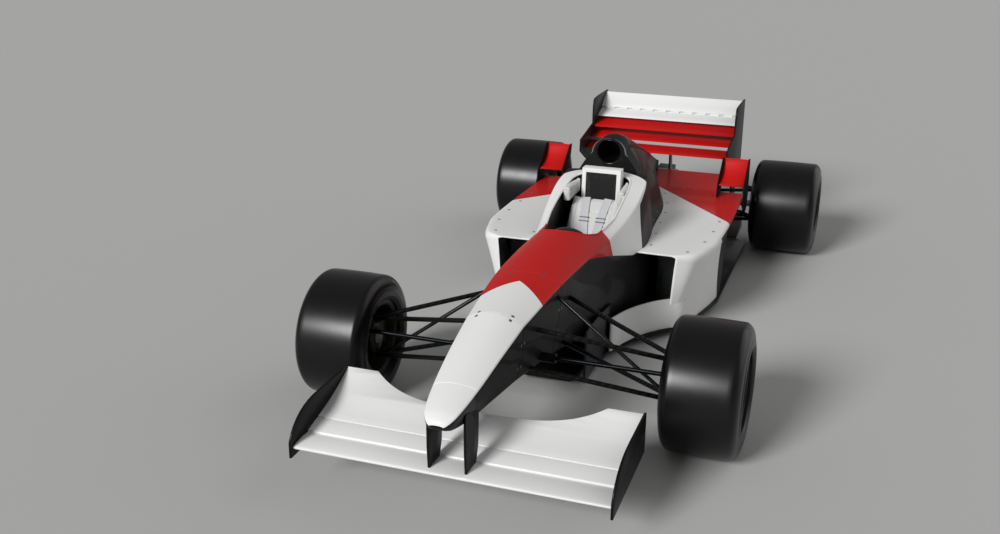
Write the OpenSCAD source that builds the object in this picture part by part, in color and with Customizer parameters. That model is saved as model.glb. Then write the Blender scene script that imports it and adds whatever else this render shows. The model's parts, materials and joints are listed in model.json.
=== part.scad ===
// Open wheel racing car with a raised nose, high cockpit sides and a two-tier rear wing.
// The nose points to -Y, the car's left is +X and +Z is up. The origin is on the ground,
// under the middle of the car's length and width.

/* [Overall] */
// Distance between the front and rear axles
wheelbase = 2920; // [2700:10:3560]
// From the nose tip back to the front axle
front_overhang = 1010; // [840:10:1220]
// From the rear axle back to the end of the rear wing
rear_overhang = 500; // [430:10:600]
// Distance between the centres of the front tyres
front_track = 1700; // [1560:10:2040]
// Distance between the centres of the rear tyres
rear_track = 1740; // [1640:10:2090]

/* [Wheels] */
// Outer radius of the front tyres
front_tyre_r = 301; // [280:1:330]
// Width of the front tyres
front_tyre_w = 348; // [290:2:400]
// Outer radius of the rear tyres
rear_tyre_r = 297; // [280:1:330]
// Width of the rear tyres
rear_tyre_w = 418; // [350:2:440]
// Radius of the bead seat of every rim
rim_r = 168; // [160:1:200]
// Wall of the rim barrel
rim_wall = 9; // [6:1:12]
// Number of spokes in each rim
spoke_count = 8; // [5:1:12]

/* [Tub] */
// From the front axle back to the front edge of the cockpit, at the centreline
cockpit_y = 590; // [560:5:620]
// Length of the cockpit opening
cockpit_l = 860; // [780:10:880]
// Half the width of the cockpit opening at the elbows
cockpit_half_w = 172; // [140:2:185]
// From the front axle back to the face that the engine bolts to
bulkhead_y = 1750; // [1700:10:1850]
// Height of the sidepod deck at its front end
deck_z = 510; // [480:5:540]
// Drop of the deck from its front end to the rear axle
deck_drop = 40; // [20:5:60]
// Thickness of the bodywork panels
panel_t = 9; // [6:1:14]

/* [Power unit] */
// Length of the engine block
engine_l = 600; // [500:10:720]
// Width of the engine block
engine_w = 430; // [360:10:480]
// Height of the engine block
engine_h = 390; // [320:10:400]
// Width of the gearbox casing
gearbox_w = 210; // [180:5:250]
// Height of the gearbox casing
gearbox_h = 250; // [220:5:280]

/* [Floor] */
// Height of the floor's underside above the ground
ride_h = 34; // [25:1:50]
// Thickness of the floor
floor_t = 20; // [12:1:24]
// Half the width of the floor beside the sidepods
floor_half_w = 642; // [600:2:650]
// Rise of the diffuser at its rear edge
diffuser_rise = 110; // [60:5:160]

/* [Wings] */
// Overall span of the front wing between its endplates
front_wing_span = 1320; // [1200:10:1500]
// Overall span of the rear wing between its endplates
rear_wing_span = 970; // [860:10:1010]
// Thickness of every wing endplate
endplate_t = 10; // [6:1:14]
// Half the distance between the two front wing pylons
pylon_x = 77; // [60:1:90]

/* [Suspension] */
// From the wheel centre inboard to the kingpin, front
kingpin_in = 105; // [90:1:120]
// Half the distance between the upper and lower ball joints
joint_rise = 95; // [80:1:100]
// Radius of the wishbone tubes
tube_r = 11; // [8:1:14]
// Length of the steering arm, kingpin to track rod
steer_arm = 90; // [80:1:95]
// Radius of the brake discs
disc_r = 130; // [110:1:134]

/* [Hidden] */
$fn = 64;

// Colours
white = [0.90, 0.90, 0.90];
red = [0.80, 0.02, 0.02];
carbon = [0.07, 0.07, 0.08];
rubber = [0.04, 0.04, 0.04];
metal = [0.55, 0.56, 0.58];

// Lengthwise places
total_l = front_overhang + wheelbase + rear_overhang;
front_y = front_overhang - total_l / 2;
rear_y = front_y + wheelbase;
tub_end_y = front_y + bulkhead_y;
engine_end_y = tub_end_y + engine_l;
nose_joint = -368;
cover_front = 1520;
function behind_front(d) = front_y + d;
function behind_rear(d) = rear_y + d;

// Heights
floor_top = ride_h + floor_t;
front_z = front_tyre_r;
rear_z = rear_tyre_r;
deck_front_y = behind_front(1060);
deck_end_y = behind_rear(25);
function deck(y) = deck_z - deck_drop * (y - deck_front_y) / (deck_end_y - deck_front_y);

seam = 0.4;
flip_x0 = 505;
flip_x1 = 656;
pod_gap = 1.5;
bearing_gap = 0.05;
pin_gap = 0.3;

// Smooth curves through the rows of a table, whose first column is the distance along the car
function row_at(t, y, i = 0) = i >= len(t) - 2 || y <= t[i + 1][0] ? i : row_at(t, y, i + 1);
function slope(t, i, k) =
    let (a = max(i - 1, 0), b = min(i + 1, len(t) - 1))
    (t[b][k] - t[a][k]) / (t[b][0] - t[a][0]);
function curve(t, y, k) =
    let (i = row_at(t, y), h = t[i + 1][0] - t[i][0], u = (y - t[i][0]) / h)
    (2 * u^3 - 3 * u^2 + 1) * t[i][k] + (u^3 - 2 * u^2 + u) * slope(t, i, k) * h
    + (3 * u^2 - 2 * u^3) * t[i + 1][k] + (u^3 - u^2) * slope(t, i + 1, k) * h;

function spaced(a, b, n) = [for (i = [0 : n]) a + (b - a) * i / n];
function bezier(a, b, c, n) =
    [for (i = [0 : n]) let (u = i / n) (1 - u)^2 * a + 2 * u * (1 - u) * b + u^2 * c];

// The same face seen from the other side
function flipped(face) = concat([face[0]], [for (j = [len(face) - 1 : -1 : 1]) face[j]]);

// The triangles of a face, all from its first corner
function fan(face) = [for (i = [1 : len(face) - 2]) [face[0], face[i], face[i + 1]]];

// Solid through closed rings, counter-clockwise as seen from the front, with the faces that
// close each end. The two halves of a ring are divided into triangles as mirror images.
module ring_loft(rings, ends) {
    n = len(rings[0]);
    last = (len(rings) - 1) * n;
    sides = [for (k = [0 : len(rings) - 2], i = [0 : n - 1])
        let (a = k * n + i, b = k * n + (i + 1) % n, c = b + n, d = a + n)
        i < n / 2 ? [a, b, c, d] : [b, c, d, a]];
    front = [for (face = ends) flipped(face)];
    back = [for (face = ends) [for (j = face) last + j]];
    polyhedron([for (r = rings) each r], [for (face = concat(sides, front, back)) each fan(face)],
        convexity = 8);
}

// Solid through half rings that run from the bottom centre to the top centre on the +X side
module body_loft(halves) {
    m = len(halves[0]) - 1;
    n = 2 * m;
    rings = [for (h = halves) concat(h, [for (i = [m - 1 : -1 : 1]) [-h[i][0], h[i][1], h[i][2]]])];
    base = [0, 1, 2, n - 2, n - 1];
    strips = [for (i = [2 : m - 2]) [i, i + 1, n - i - 1, n - i]];
    ring_loft(rings, concat([base], strips, [[m - 1, m, m + 1]]));
}

module both_sides() {
    children();
    mirror([1, 0, 0]) children();
}

// Extrudes a profile given as [y, z] across the car, from x = from_x to x = to_x
module across(from_x, to_x) {
    translate([from_x, 0, 0])
        rotate([90, 0, 90])
            linear_extrude(to_x - from_x)
                children();
}

// Round rod between two points
module rod(a, b, r) {
    d = b - a;
    l = norm(d);
    translate(a)
        rotate([0, acos(d[2] / l), atan2(d[1], d[0])])
            cylinder(r = r, h = l);
}

// ---- Tub and nose ----

// Half width of the body where it meets the sidepod deck
waist = [
    [behind_front(830), 222], [behind_front(1130), 300], [behind_front(1350), 292],
    [behind_front(cover_front), 270], [behind_rear(-980), 240], [behind_rear(-758), 193],
    [behind_rear(-400), 92], [behind_rear(-60), 6], [deck_end_y, 5]];

function waist_x(y) = curve(waist, y, 1);

// Nose: y, bottom half width and height, side half width and height,
// shoulder half width and height, crown height
nose_rows = [
    [behind_front(-front_overhang), 26, 440, 38, 450, 42, 462, 472],
    [behind_front(-front_overhang + 45), 50, 424, 64, 456, 68, 486, 500],
    [behind_front(-819), 70, 404, 89, 468, 93, 525, 547],
    [behind_front(-600), 84, 384, 108, 486, 113, 577, 609],
    [behind_front(nose_joint), 97, 362, 124, 505, 129, 622, 668]];
tub_rows = [
    [behind_front(nose_joint), 97, 362, 124, 505, 129, 622, 668],
    [behind_front(66), 122, 302, 156, 500, 163, 657, 701],
    [behind_front(450), 146, 214, 180, 500, 181, 653, 727],
    [behind_front(700), 176, 104, 204, 512, 187, 641, 738],
    [behind_front(830), 200, floor_top, 222, deck_z, 191, 634, 744],
    [behind_front(1130), 292, floor_top, 300, deck(behind_front(1130)), 236, 700, 786],
    [behind_front(1350), 288, floor_top, 292, deck(behind_front(1350)), 246, 764, 806],
    [behind_front(cover_front), 266, floor_top, 270, deck(behind_front(cover_front)), 232, 800, 812]];

// Half ring of the nose or tub at y
function hull_half(t, y) =
    let (
        wb = curve(t, y, 1), zb = max(curve(t, y, 2), floor_top),
        wm = y < waist[0][0] ? curve(t, y, 3) : waist_x(y), zm = curve(t, y, 4),
        ws = curve(t, y, 5), zs = curve(t, y, 6), zt = curve(t, y, 7),
        r = min(0.22 * wb, 0.4 * (zm - zb)), e = [wb + (wm - wb) * r / (zm - zb), zb + r])
    concat(
        [[0, y, zb]],
        [for (p = bezier([wb - r, zb], [wb, zb], e, 3)) [p[0], y, p[1]]],
        [[(e[0] + wm) / 2, y, (e[1] + zm) / 2]],
        [[wm, y, zm]],
        [for (i = [0 : 6]) let (x = ws * cos(15 * i)) [x, y, zs + (zt - zs) * (1 - (x / ws)^2)]]);

module nose_solid() {
    body_loft([for (y = concat(
        spaced(nose_rows[0][0], nose_rows[1][0], 3),
        spaced(nose_rows[1][0] + 30, nose_rows[4][0], 9))) hull_half(nose_rows, y)]);
}

module nose_cone() {
    color(white) nose_solid();
}

rack_y = behind_front(-steer_arm);
rack_z = front_z + 69;
rack_r = 10;
housing_r = 22;

column_r = 12;
column_low = [0, behind_front(46), 420];
column_high = [0, behind_front(cockpit_y + 150), 600];
column_tilt = atan2(column_high[2] - column_low[2], column_high[1] - column_low[1]);

seat_floor_z = floor_top + 45;
leg_half_w = cockpit_half_w - 68;
leg_front = 40;
leg_z0 = 372;
leg_h = 236;
well_front = cockpit_y + 250;
cockpit_back = cockpit_y + cockpit_l;

// Plan of the cockpit opening
function cockpit_edge() = concat(
    bezier(
        [0, cockpit_y], [0.78 * cockpit_half_w, cockpit_y + 20], [0.84 * cockpit_half_w, cockpit_y + 220], 8),
    bezier(
        [cockpit_half_w, cockpit_y + 400], [cockpit_half_w + 4, cockpit_y + 560],
        [cockpit_half_w, cockpit_back - 160], 4),
    bezier(
        [cockpit_half_w - 4, cockpit_back - 120], [cockpit_half_w - 12, cockpit_back],
        [0.5 * cockpit_half_w, cockpit_back], 6));
module cockpit_plan() {
    right = cockpit_edge();
    left = [for (i = [len(right) - 1 : -1 : 1]) [-right[i][0], right[i][1]]];
    polygon(concat(right, left));
}

module monocoque() {
    color(white)
        difference() {
            union() {
                body_loft([for (y = concat(
                    spaced(tub_rows[0][0], tub_rows[4][0], 14),
                    spaced(tub_rows[4][0] + 50, tub_rows[7][0], 9))) hull_half(tub_rows, y)]);
                translate([-266, behind_front(cover_front) - 20, floor_top])
                    cube([532, bulkhead_y - cover_front + 20, engine_h + 20]);
            }
            translate([0, front_y, leg_z0])
                linear_extrude(900)
                    cockpit_plan();
            // Seat well, which starts where the raised nose has come down to the floor
            translate([0, front_y, seat_floor_z])
                linear_extrude(leg_z0)
                    intersection() {
                        cockpit_plan();
                        translate([-300, well_front]) square([600, cockpit_l]);
                    }
            translate([-leg_half_w, behind_front(leg_front), leg_z0])
                cube([2 * leg_half_w, cockpit_y - leg_front + 80, leg_h]);
            translate([-300, rack_y, rack_z])
                rotate([0, 90, 0])
                    cylinder(r = housing_r + 0.1, h = 600);
        }
}

// Panel across the front of the cockpit that carries the steering column
module dashboard() {
    color(carbon)
        difference() {
            translate([-leg_half_w + seam, behind_front(cockpit_y - 34), leg_z0 + leg_h - 150])
                cube([2 * leg_half_w - 2 * seam, 12, 150 - seam]);
            translate(column_low)
                rotate([90 - column_tilt, 0, 180])
                    translate([0, 0, -200])
                        cylinder(r = column_r + pin_gap, h = 1400);
        }
}

module seat() {
    base_y = behind_front(cockpit_y + 330);
    back_y = behind_front(cockpit_back - 102);
    color("dimgray")
        across(-cockpit_half_w + 26, cockpit_half_w - 26)
            polygon([
                [base_y, seat_floor_z + seam], [base_y, seat_floor_z + 95],
                [base_y + 90, seat_floor_z + 62], [base_y + 150, seat_floor_z + 140],
                [back_y - 198, seat_floor_z + 400], [back_y - 98, seat_floor_z + 530],
                [back_y - 18, seat_floor_z + 590], [back_y, seat_floor_z + 590],
                [back_y, seat_floor_z + seam]]);
}

// Horseshoe pad round the driver's head
pad_z = 700;
pad_h = 85;

module headrest() {
    inner_w = cockpit_half_w - 46;
    y0 = cockpit_back - 250;
    color("black")
        translate([0, front_y, pad_z])
            linear_extrude(pad_h)
                difference() {
                    intersection() {
                        offset(delta = -seam) cockpit_plan();
                        translate([-300, y0]) square([600, 400]);
                    }
                    translate([-inner_w, y0 - 10]) square([2 * inner_w, 400]);
                }
}

// Padded frame that stands behind the driver's head, open towards the front
frame_half_w = cockpit_half_w - 64;
frame_h = 236;
frame_wall = 22;
frame_z = 616;
frame_y = behind_front(cockpit_back - 96);
frame_depth = 92;

module head_frame() {
    foot_w = 0.7 * cockpit_half_w;
    color(white)
        difference() {
            union() {
                across(-frame_half_w, frame_half_w)
                    polygon([
                        [frame_y, frame_z], [frame_y + 14, frame_z + frame_h],
                        [frame_y + frame_depth - 16, frame_z + frame_h],
                        [frame_y + frame_depth - 16, pad_z + pad_h + 30],
                        [frame_y + frame_depth, pad_z + pad_h + 30],
                        [frame_y + frame_depth, frame_z]]);
                // Foot that bolts to the back of the cockpit
                across(-foot_w / 2, foot_w / 2)
                    polygon([
                        [frame_y + frame_depth - 1, frame_z], [frame_y + frame_depth - 1, frame_z + 60],
                        [behind_front(cockpit_back) - seam, frame_z + 60],
                        [behind_front(cockpit_back) - seam, frame_z]]);
            }
            across(-frame_half_w + frame_wall, frame_half_w - frame_wall)
                polygon([
                    [frame_y - 1, frame_z + frame_wall], [frame_y - 1, frame_z + frame_h - frame_wall],
                    [frame_y + 60, frame_z + frame_h - frame_wall], [frame_y + 60, frame_z + frame_wall]]);
        }
}

// Square pad held in the frame
module head_pad() {
    color("black")
        translate([-frame_half_w + frame_wall + seam, frame_y + 24, frame_z + frame_wall + seam])
            cube([2 * (frame_half_w - frame_wall - seam), 36 - seam, frame_h - 2 * (frame_wall + seam)]);
}

// ---- Engine cover and airbox ----

// y, spine height, half width of the top
cover_rows = [
    [behind_front(cover_front), 992, 92],
    [behind_front(1660), 990, 90],
    [behind_rear(-980), 900, 60],
    [behind_rear(-712), 806, 34],
    [behind_rear(-400), 690, 20],
    [behind_rear(-60), 556, 7],
    [deck_end_y, 530, 5]];

function cover_half(y) =
    let (
        w = waist_x(y), zt = curve(cover_rows, y, 1), wt = min(curve(cover_rows, y, 2), w),
        z0 = deck(y), h = zt - z0, shoulder = zt - min(0.9 * wt, 0.5 * h))
    concat(
        [[0, y, z0 - panel_t], [w - seam, y, z0 - panel_t]],
        [for (p = bezier([w - seam, z0], [0.62 * w + 0.38 * wt, z0 + 0.62 * h], [wt, shoulder], 7))
            [p[0], y, p[1]]],
        [for (i = [1 : 5]) [wt * cos(18 * i), y, shoulder + (zt - shoulder) * sin(18 * i)]]);

module engine_cover() {
    mouth_r = 62;
    mouth_z = 915;
    intake_depth = 215; // ends before the spine has dropped to the bore
    color(carbon)
        difference() {
            body_loft([for (y = concat(
                spaced(behind_front(cover_front) + seam, behind_front(1660), 4),
                [for (i = [1 : 20]) behind_front(1660) + (deck_end_y - behind_front(1660)) * i / 20]))
                cover_half(y)]);
            // Tapered air intake
            translate([0, behind_front(cover_front) - 1, mouth_z])
                rotate([-90, 0, 0])
                    cylinder(r1 = mouth_r, r2 = mouth_r - 16, h = intake_depth);
        }
}

// ---- Sidepods ----

// y, outer half width of the deck, edge chamfer, wall half width at the top, at the floor
pod_rows = [
    [deck_front_y, 500, 26, 498, 470],
    [behind_front(1108), 572, 34, 570, 492],
    [behind_front(1190), 612, 38, 610, 484],
    [behind_front(1297), 638, 38, 636, 521],
    [behind_front(1417), 660, 34, 657, 566],
    [behind_front(1774), 665, 24, 655, 628],
    [behind_rear(-960), 662, 16, 600, 600],
    [behind_rear(-700), flip_x1, 10, 470, 470],
    [behind_rear(-447), flip_x1, 8, 330, 330]];
pod_tail_rows = [
    [behind_rear(-447), 475, 8, 330, 330],
    [behind_rear(-240), 475, 8, 250, 250]];

function pod_ring(t, y) =
    let (
        xi = waist_x(y) + pod_gap, xo = curve(t, y, 1), c = curve(t, y, 2),
        xw = curve(t, y, 3), xf = curve(t, y, 4), z = deck(y), p = panel_t)
    [
        [xf - p, y, floor_top], [xf, y, floor_top],
        [xw, y, z - c - p], [xo - 1, y, z - c - 0.6 * p], [xo, y, z - c],
        [xo - 0.3 * c, y, z - 0.3 * c], [xo - c, y, z],
        [xi, y, z], [xi, y, z - p],
        [xw - p - 1, y, z - p - 0.2 * c]];

// The undercut wall takes over from the flank ahead of and below this corner
undercut_end_y = behind_front(1196);
undercut_top = 235;

// Outer face of the pod's wall at a height
function pod_wall_x(y, z) =
    let (
        xw = curve(pod_rows, y, 3), xf = curve(pod_rows, y, 4),
        rise = deck(y) - curve(pod_rows, y, 2) - panel_t - floor_top)
    xf + (xw - xf) * (z - floor_top) / rise;

module pod() {
    ends = [[0, 1, 2, 9], [9, 2, 3, 4, 5, 6, 7, 8]];
    difference() {
        ring_loft([for (y = concat(
            spaced(deck_front_y, behind_front(1190), 5),
            spaced(behind_front(1215), behind_front(1774), 8),
            [for (i = [1 : 9]) behind_front(1774) + (behind_rear(-447) - behind_front(1774)) * i / 9]))
            pod_ring(pod_rows, y)], ends);
        translate([380, deck_front_y - 1, floor_top - 1])
            cube([320, undercut_end_y - deck_front_y + 1, undercut_top + seam - floor_top + 1]);
    }
    translate([0, seam / 2, 0])
        ring_loft(
            [for (y = spaced(pod_tail_rows[0][0], pod_tail_rows[1][0], 4)) pod_ring(pod_tail_rows, y)], ends);
    // Deck over the gearbox, open below for the suspension
    ring_loft([for (y = concat(
        spaced(pod_tail_rows[1][0] + seam, behind_rear(-60), 4), [deck_end_y]))
        let (xi = waist_x(y) + pod_gap, z = deck(y))
            [[xi, y, z - panel_t], [475, y, z - panel_t], [475, y, z], [xi, y, z]]], [[0, 1, 2, 3]]);
}

module sidepod_left() {
    color(white) pod();
}

module sidepod_right() {
    color(white) mirror([1, 0, 0]) pod();
}

// Upright wall along a plan line
module wall(line, z0, z1, t) {
    translate([0, 0, z0])
        linear_extrude(z1 - z0)
            for (i = [0 : len(line) - 2])
                let (a = line[i], b = line[i + 1], n = t / norm(b - a) * [b[1] - a[1], a[0] - b[0]] / 2)
                    polygon([a + n, b + n, b - n, a - n]);
}

// Plan line of the undercut's outer face at a height, from beside the tub to the pod's flank
function undercut_line(z) = bezier(
    [236, behind_front(760)], [302, behind_front(1060)],
    [pod_wall_x(undercut_end_y, z), undercut_end_y - seam], 12);
function inner_x(line, i) =
    let (a = line[max(i - 1, 0)], b = line[min(i + 1, len(line) - 1)])
    line[i][0] - panel_t * norm(b - a) / (b[1] - a[1]);

module sidepod_undercuts() {
    foot = undercut_line(floor_top);
    head = undercut_line(undercut_top);
    color(white)
        both_sides()
            ring_loft([for (i = [0 : len(foot) - 1]) [
                [inner_x(foot, i), foot[i][1], floor_top], [foot[i][0], foot[i][1], floor_top],
                [head[i][0], head[i][1], undercut_top], [inner_x(head, i), head[i][1], undercut_top]]],
                [[0, 1, 2, 3]]);
}

bargeboard_line = bezier([196, behind_front(386)], [190, behind_front(600)], [214, behind_front(810)], 6);

module bargeboards() {
    color(carbon)
        both_sides()
            wall(bargeboard_line, ride_h, 300, panel_t);
}

module radiators() {
    color(metal)
        both_sides()
            translate([330, behind_front(1420), floor_top])
                cube([210, 60, 380]);
}

// ---- Floor ----

floor_edge = [
    [131, behind_front(380)], [150, behind_front(520)], [190, behind_front(600)],
    [222, behind_front(760)], [300, behind_front(960)], [400, behind_front(1100)],
    [494, behind_front(1208)], [577, behind_front(1421)], [floor_half_w - 4, behind_front(1700)],
    [floor_half_w, behind_rear(-122)], [566, behind_rear(-42)]];

module floor_plan() {
    polygon(concat(
        floor_edge,
        [for (i = [len(floor_edge) - 1 : -1 : 0]) [-floor_edge[i][0], floor_edge[i][1]]]));
}

module floor() {
    color(carbon)
        difference() {
            translate([0, 0, ride_h])
                linear_extrude(floor_t)
                    floor_plan();
            both_sides()
                wall(bargeboard_line, 0, 300, panel_t + 2 * seam);
        }
}

diffuser_y0 = behind_rear(-42) + seam;
diffuser_y1 = behind_rear(290);
diffuser_t = 12;
function diffuser_z(y) = ride_h + diffuser_rise * (y - diffuser_y0) / (diffuser_y1 - diffuser_y0);

module diffuser() {
    color(carbon)
        union() {
            across(-565, 565)
                polygon([[diffuser_y0, ride_h], [diffuser_y1, diffuser_z(diffuser_y1)],
                    [diffuser_y1, diffuser_z(diffuser_y1) + diffuser_t], [diffuser_y0, ride_h + diffuser_t]]);
            for (x = [-565, -300, -140, 140 - 8, 300 - 8, 565 - 8])
                across(x, x + 8)
                    polygon([[diffuser_y0, ride_h], [diffuser_y1, ride_h],
                        [diffuser_y1, diffuser_z(diffuser_y1) + 6], [diffuser_y0, ride_h + 6]]);
        }
}

// ---- Flip-ups ahead of the rear tyres ----

module flip_ups() {
    front = [behind_rear(-586), 560];
    top = [behind_rear(-397), 690];
    outer = bezier(front, [behind_rear(-450), 572], top, 8);
    inner = [for (i = [8 : -1 : 0]) outer[i] + [7, -5]];
    color(red)
        both_sides()
            across(flip_x0, flip_x1)
                polygon(concat(outer, inner));
}

module flip_up_endplates() {
    profile = [
        [behind_rear(-640), deck(behind_rear(-640)) - 12], [behind_rear(-600), 560],
        [behind_rear(-420), 694], [behind_rear(-385), 694],
        [behind_rear(-380), 470], [behind_rear(-400), 380],
        [behind_rear(-480), 360]];
    inner_profile = [
        [behind_rear(-600), deck(behind_rear(-600)) + seam], [behind_rear(-590), 566],
        [behind_rear(-420), 694], [behind_rear(-385), 694],
        [behind_rear(-452), deck(behind_rear(-452)) + seam]];
    color(carbon)
        both_sides() {
            across(flip_x1 + seam, flip_x1 + seam + 8) polygon(profile);
            across(flip_x0 - 8 - seam, flip_x0 - seam) polygon(inner_profile);
        }
}

// ---- Power unit ----

engine_z0 = floor_top + 6;

module engine() {
    color(metal)
        translate([-engine_w / 2, tub_end_y + seam, engine_z0])
            cube([engine_w, engine_l - 2 * seam, engine_h]);
}

gearbox_z0 = rear_z - gearbox_h / 2;
gearbox_end_y = behind_rear(230);
starter_r = 22;
starter_l = 60;
starter_z = gearbox_z0 + 45;

module gearbox() {
    color(metal)
        difference() {
            translate([0, 0, gearbox_z0])
                linear_extrude(gearbox_h)
                    polygon([
                        [-engine_w / 2, engine_end_y], [engine_w / 2, engine_end_y],
                        [engine_w / 2, engine_end_y + 40], [gearbox_w / 2, engine_end_y + 220],
                        [gearbox_w / 2, gearbox_end_y], [-gearbox_w / 2, gearbox_end_y],
                        [-gearbox_w / 2, engine_end_y + 220], [-engine_w / 2, engine_end_y + 40]]);
            // Sockets of the driveshafts and of the starter
            translate([0, rear_y, rear_z])
                both_sides()
                    translate([gearbox_w / 2 - 30, 0, 0])
                        rotate([0, 90, 0])
                            cylinder(r = shaft_r + pin_gap, h = 40);
            translate([0, gearbox_end_y - starter_l, starter_z])
                rotate([-90, 0, 0])
                    cylinder(r = starter_r, h = starter_l + 1);
        }
}

crash_end_y = behind_rear(400);
crash_z = gearbox_z0 + gearbox_h - 60;
crash_h = 100;
jack_bar_r = 12;
jack_bar_l = 260;
jack_bar_drop = 34;

module rear_crash_structure() {
    color(carbon)
        union() {
            translate([-55, gearbox_end_y, crash_z - crash_h / 2])
                cube([110, crash_end_y - gearbox_end_y, crash_h]);
            translate([-jack_bar_l / 2, crash_end_y - 40, crash_z - crash_h / 2 - jack_bar_drop])
                rotate([0, 90, 0])
                    cylinder(r = jack_bar_r, h = jack_bar_l);
            // Lug that the bar passes through
            translate([-15, crash_end_y - 60, crash_z - crash_h / 2 - jack_bar_drop - 20])
                cube([30, 40, jack_bar_drop + 30]);
        }
}

// ---- Front wing ----

wing_half = front_wing_span / 2;

module front_wing_mainplane() {
    color(white)
        across(-wing_half, wing_half)
            polygon(concat(
                bezier([behind_front(-930), 196], [behind_front(-936), 206], [behind_front(-922), 208], 4),
                bezier([behind_front(-900), 211], [behind_front(-850), 216], [behind_front(-808), 211], 5),
                [[behind_front(-804), 219], [behind_front(-722), 238], [behind_front(-720), 228]],
                bezier([behind_front(-760), 206], [behind_front(-850), 180], [behind_front(-922), 190], 6)));
}

module front_wing_flap() {
    te_out = -428;
    te_mid = -545;
    x_in = 513;
    cut = [for (i = [-20 : 20])
        let (u = i / 20)
        [x_in * u, behind_front(te_mid + (te_out - te_mid) * abs(u)^3.4)]];
    color(white)
        intersection() {
            translate([0, 0, 100])
                linear_extrude(400)
                    polygon(concat(
                        [[-wing_half, behind_front(-719)], [-wing_half, behind_front(te_out)]],
                        cut,
                        [[wing_half, behind_front(te_out)], [wing_half, behind_front(-719)]]));
            across(-wing_half, wing_half)
                polygon(concat(
                    bezier(
                        [behind_front(-716), 240], [behind_front(-560), 272], [behind_front(te_out), 343], 8),
                    bezier(
                        [behind_front(te_out), 337], [behind_front(-560), 262], [behind_front(-716), 228], 8)));
        }
}

module front_wing_endplates() {
    color(carbon)
        both_sides()
            across(wing_half + seam, wing_half + seam + endplate_t)
                polygon(concat(
                    [[behind_front(-948), 160], [behind_front(-948), 222]],
                    bezier(
                        [behind_front(-944), 236], [behind_front(-880), 350], [behind_front(-690), 348], 8),
                    [[behind_front(-418), 346], [behind_front(-418), 168]]));
}

module front_wing_pylons() {
    color(carbon)
        difference() {
            both_sides()
                across(pylon_x - 5, pylon_x + 5)
                polygon([
                    [behind_front(-906), 205], [behind_front(-914), 300], [behind_front(-914), 466],
                    [behind_front(-770), 466], [behind_front(-780), 280], [behind_front(-806), 205]]);
            front_wing_mainplane();
        }
}

// ---- Rear wing ----

rear_half = rear_wing_span / 2;

// Wing section from its leading edge to its trailing edge, as thick as t, cambered by c
function aerofoil(le, te, t, c) =
    let (d = te - le, n = [-d[1], d[0]] / norm(d))
    concat(
        [for (i = [0 : 8]) let (u = i / 8)
            le + d * u - n * (c * 4 * u * (1 - u) - t * 1.6 * sqrt(u) * (1 - u) * 0.9)],
        [for (i = [7 : -1 : 1]) let (u = i / 8)
            le + d * u - n * (c * 4 * u * (1 - u) + t * 1.6 * sqrt(u) * (1 - u) * 0.6)]);

module rear_wing_flaps() {
    color(white)
        across(-rear_half, rear_half) {
            polygon(aerofoil([behind_rear(330), 808], [behind_rear(458), 890], 18, 8));
            polygon(aerofoil([behind_rear(222), 760], [behind_rear(352), 806], 18, 8));
        }
}

module rear_wing_mainplane() {
    color(red)
        across(-rear_half, rear_half) {
            polygon(aerofoil([behind_rear(120), 706], [behind_rear(300), 748], 26, 12));
            polygon(aerofoil([behind_rear(80), 640], [behind_rear(300), 690], 30, 14));
        }
}

module rear_wing_beam() {
    color(red)
        across(-rear_half, rear_half)
            polygon(aerofoil([behind_rear(-50), 590], [behind_rear(110), 612], 18, 6));
}

module rear_wing_endplates() {
    color(carbon)
        difference() {
            both_sides() across(rear_half + seam, rear_half + seam + endplate_t)
                polygon(concat(
                    [[behind_rear(rear_overhang), 360], [behind_rear(rear_overhang), 895]],
                    [[behind_rear(230), 900]],
                    bezier([behind_rear(150), 896], [behind_rear(118), 888], [behind_rear(112), 840], 5),
                    [[behind_rear(110), 730], [behind_rear(-200), 680], [behind_rear(-205), 600],
                    [behind_rear(-60), 520], [behind_rear(60), 470],
                    [behind_rear(190), diffuser_z(behind_rear(190)) + 8],
                    [behind_rear(285), diffuser_z(behind_rear(285)) + 8],
                    [behind_rear(320), 360]]));
            diffuser();
        }
}

module rear_wing_pylons() {
    top_z = gearbox_z0 + gearbox_h;
    color(carbon)
        difference() {
            both_sides()
                across(70, 80)
                    polygon([[behind_rear(45), top_z], [behind_rear(35), 600], [behind_rear(90), 606],
                        [behind_rear(140), top_z]]);
            rear_wing_beam();
        }
}

// ---- Suspension ----

kingpin_x = front_track / 2 - kingpin_in;
upper_z = front_z + joint_rise;
lower_z = front_z - joint_rise;
eye_r = 17;
stud_r = 8;
eye_h = 16;
shaft_r = 18;
rear_joint_x = rear_track / 2 - 125;
rear_upper_z = rear_z + 100;
rear_lower_z = rear_z - 100;

// Tube that starts inside an eye and runs to its foot
module leg(apex, foot) {
    d = foot - apex;
    rod(apex + d / norm(d) * (eye_r - 2), foot, tube_r);
}

// Two tubes that meet at an eye
module wishbone(apex, front_foot, rear_foot, bore) {
    difference() {
        union() {
            translate(apex - [0, 0, eye_h / 2]) cylinder(r = eye_r, h = eye_h);
            leg(apex, front_foot);
            leg(apex, rear_foot);
        }
        translate(apex - [0, 0, eye_h]) cylinder(r = bore, h = 2 * eye_h);
    }
}

module front_wishbones() {
    spread = 205;
    color(carbon)
        both_sides() {
            wishbone(
                [kingpin_x, front_y, upper_z], [118, front_y - spread, 548], [135, front_y + spread, 560],
                stud_r + pin_gap);
            wishbone([kingpin_x, front_y, lower_z], [96, front_y - spread, 362], [112, front_y + spread, 330],
                stud_r + pin_gap);
            // Pushrod
            rod([kingpin_x - 55, front_y, lower_z + 14], [140, front_y + 30, 628], tube_r - 2);
        }
}

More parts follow.
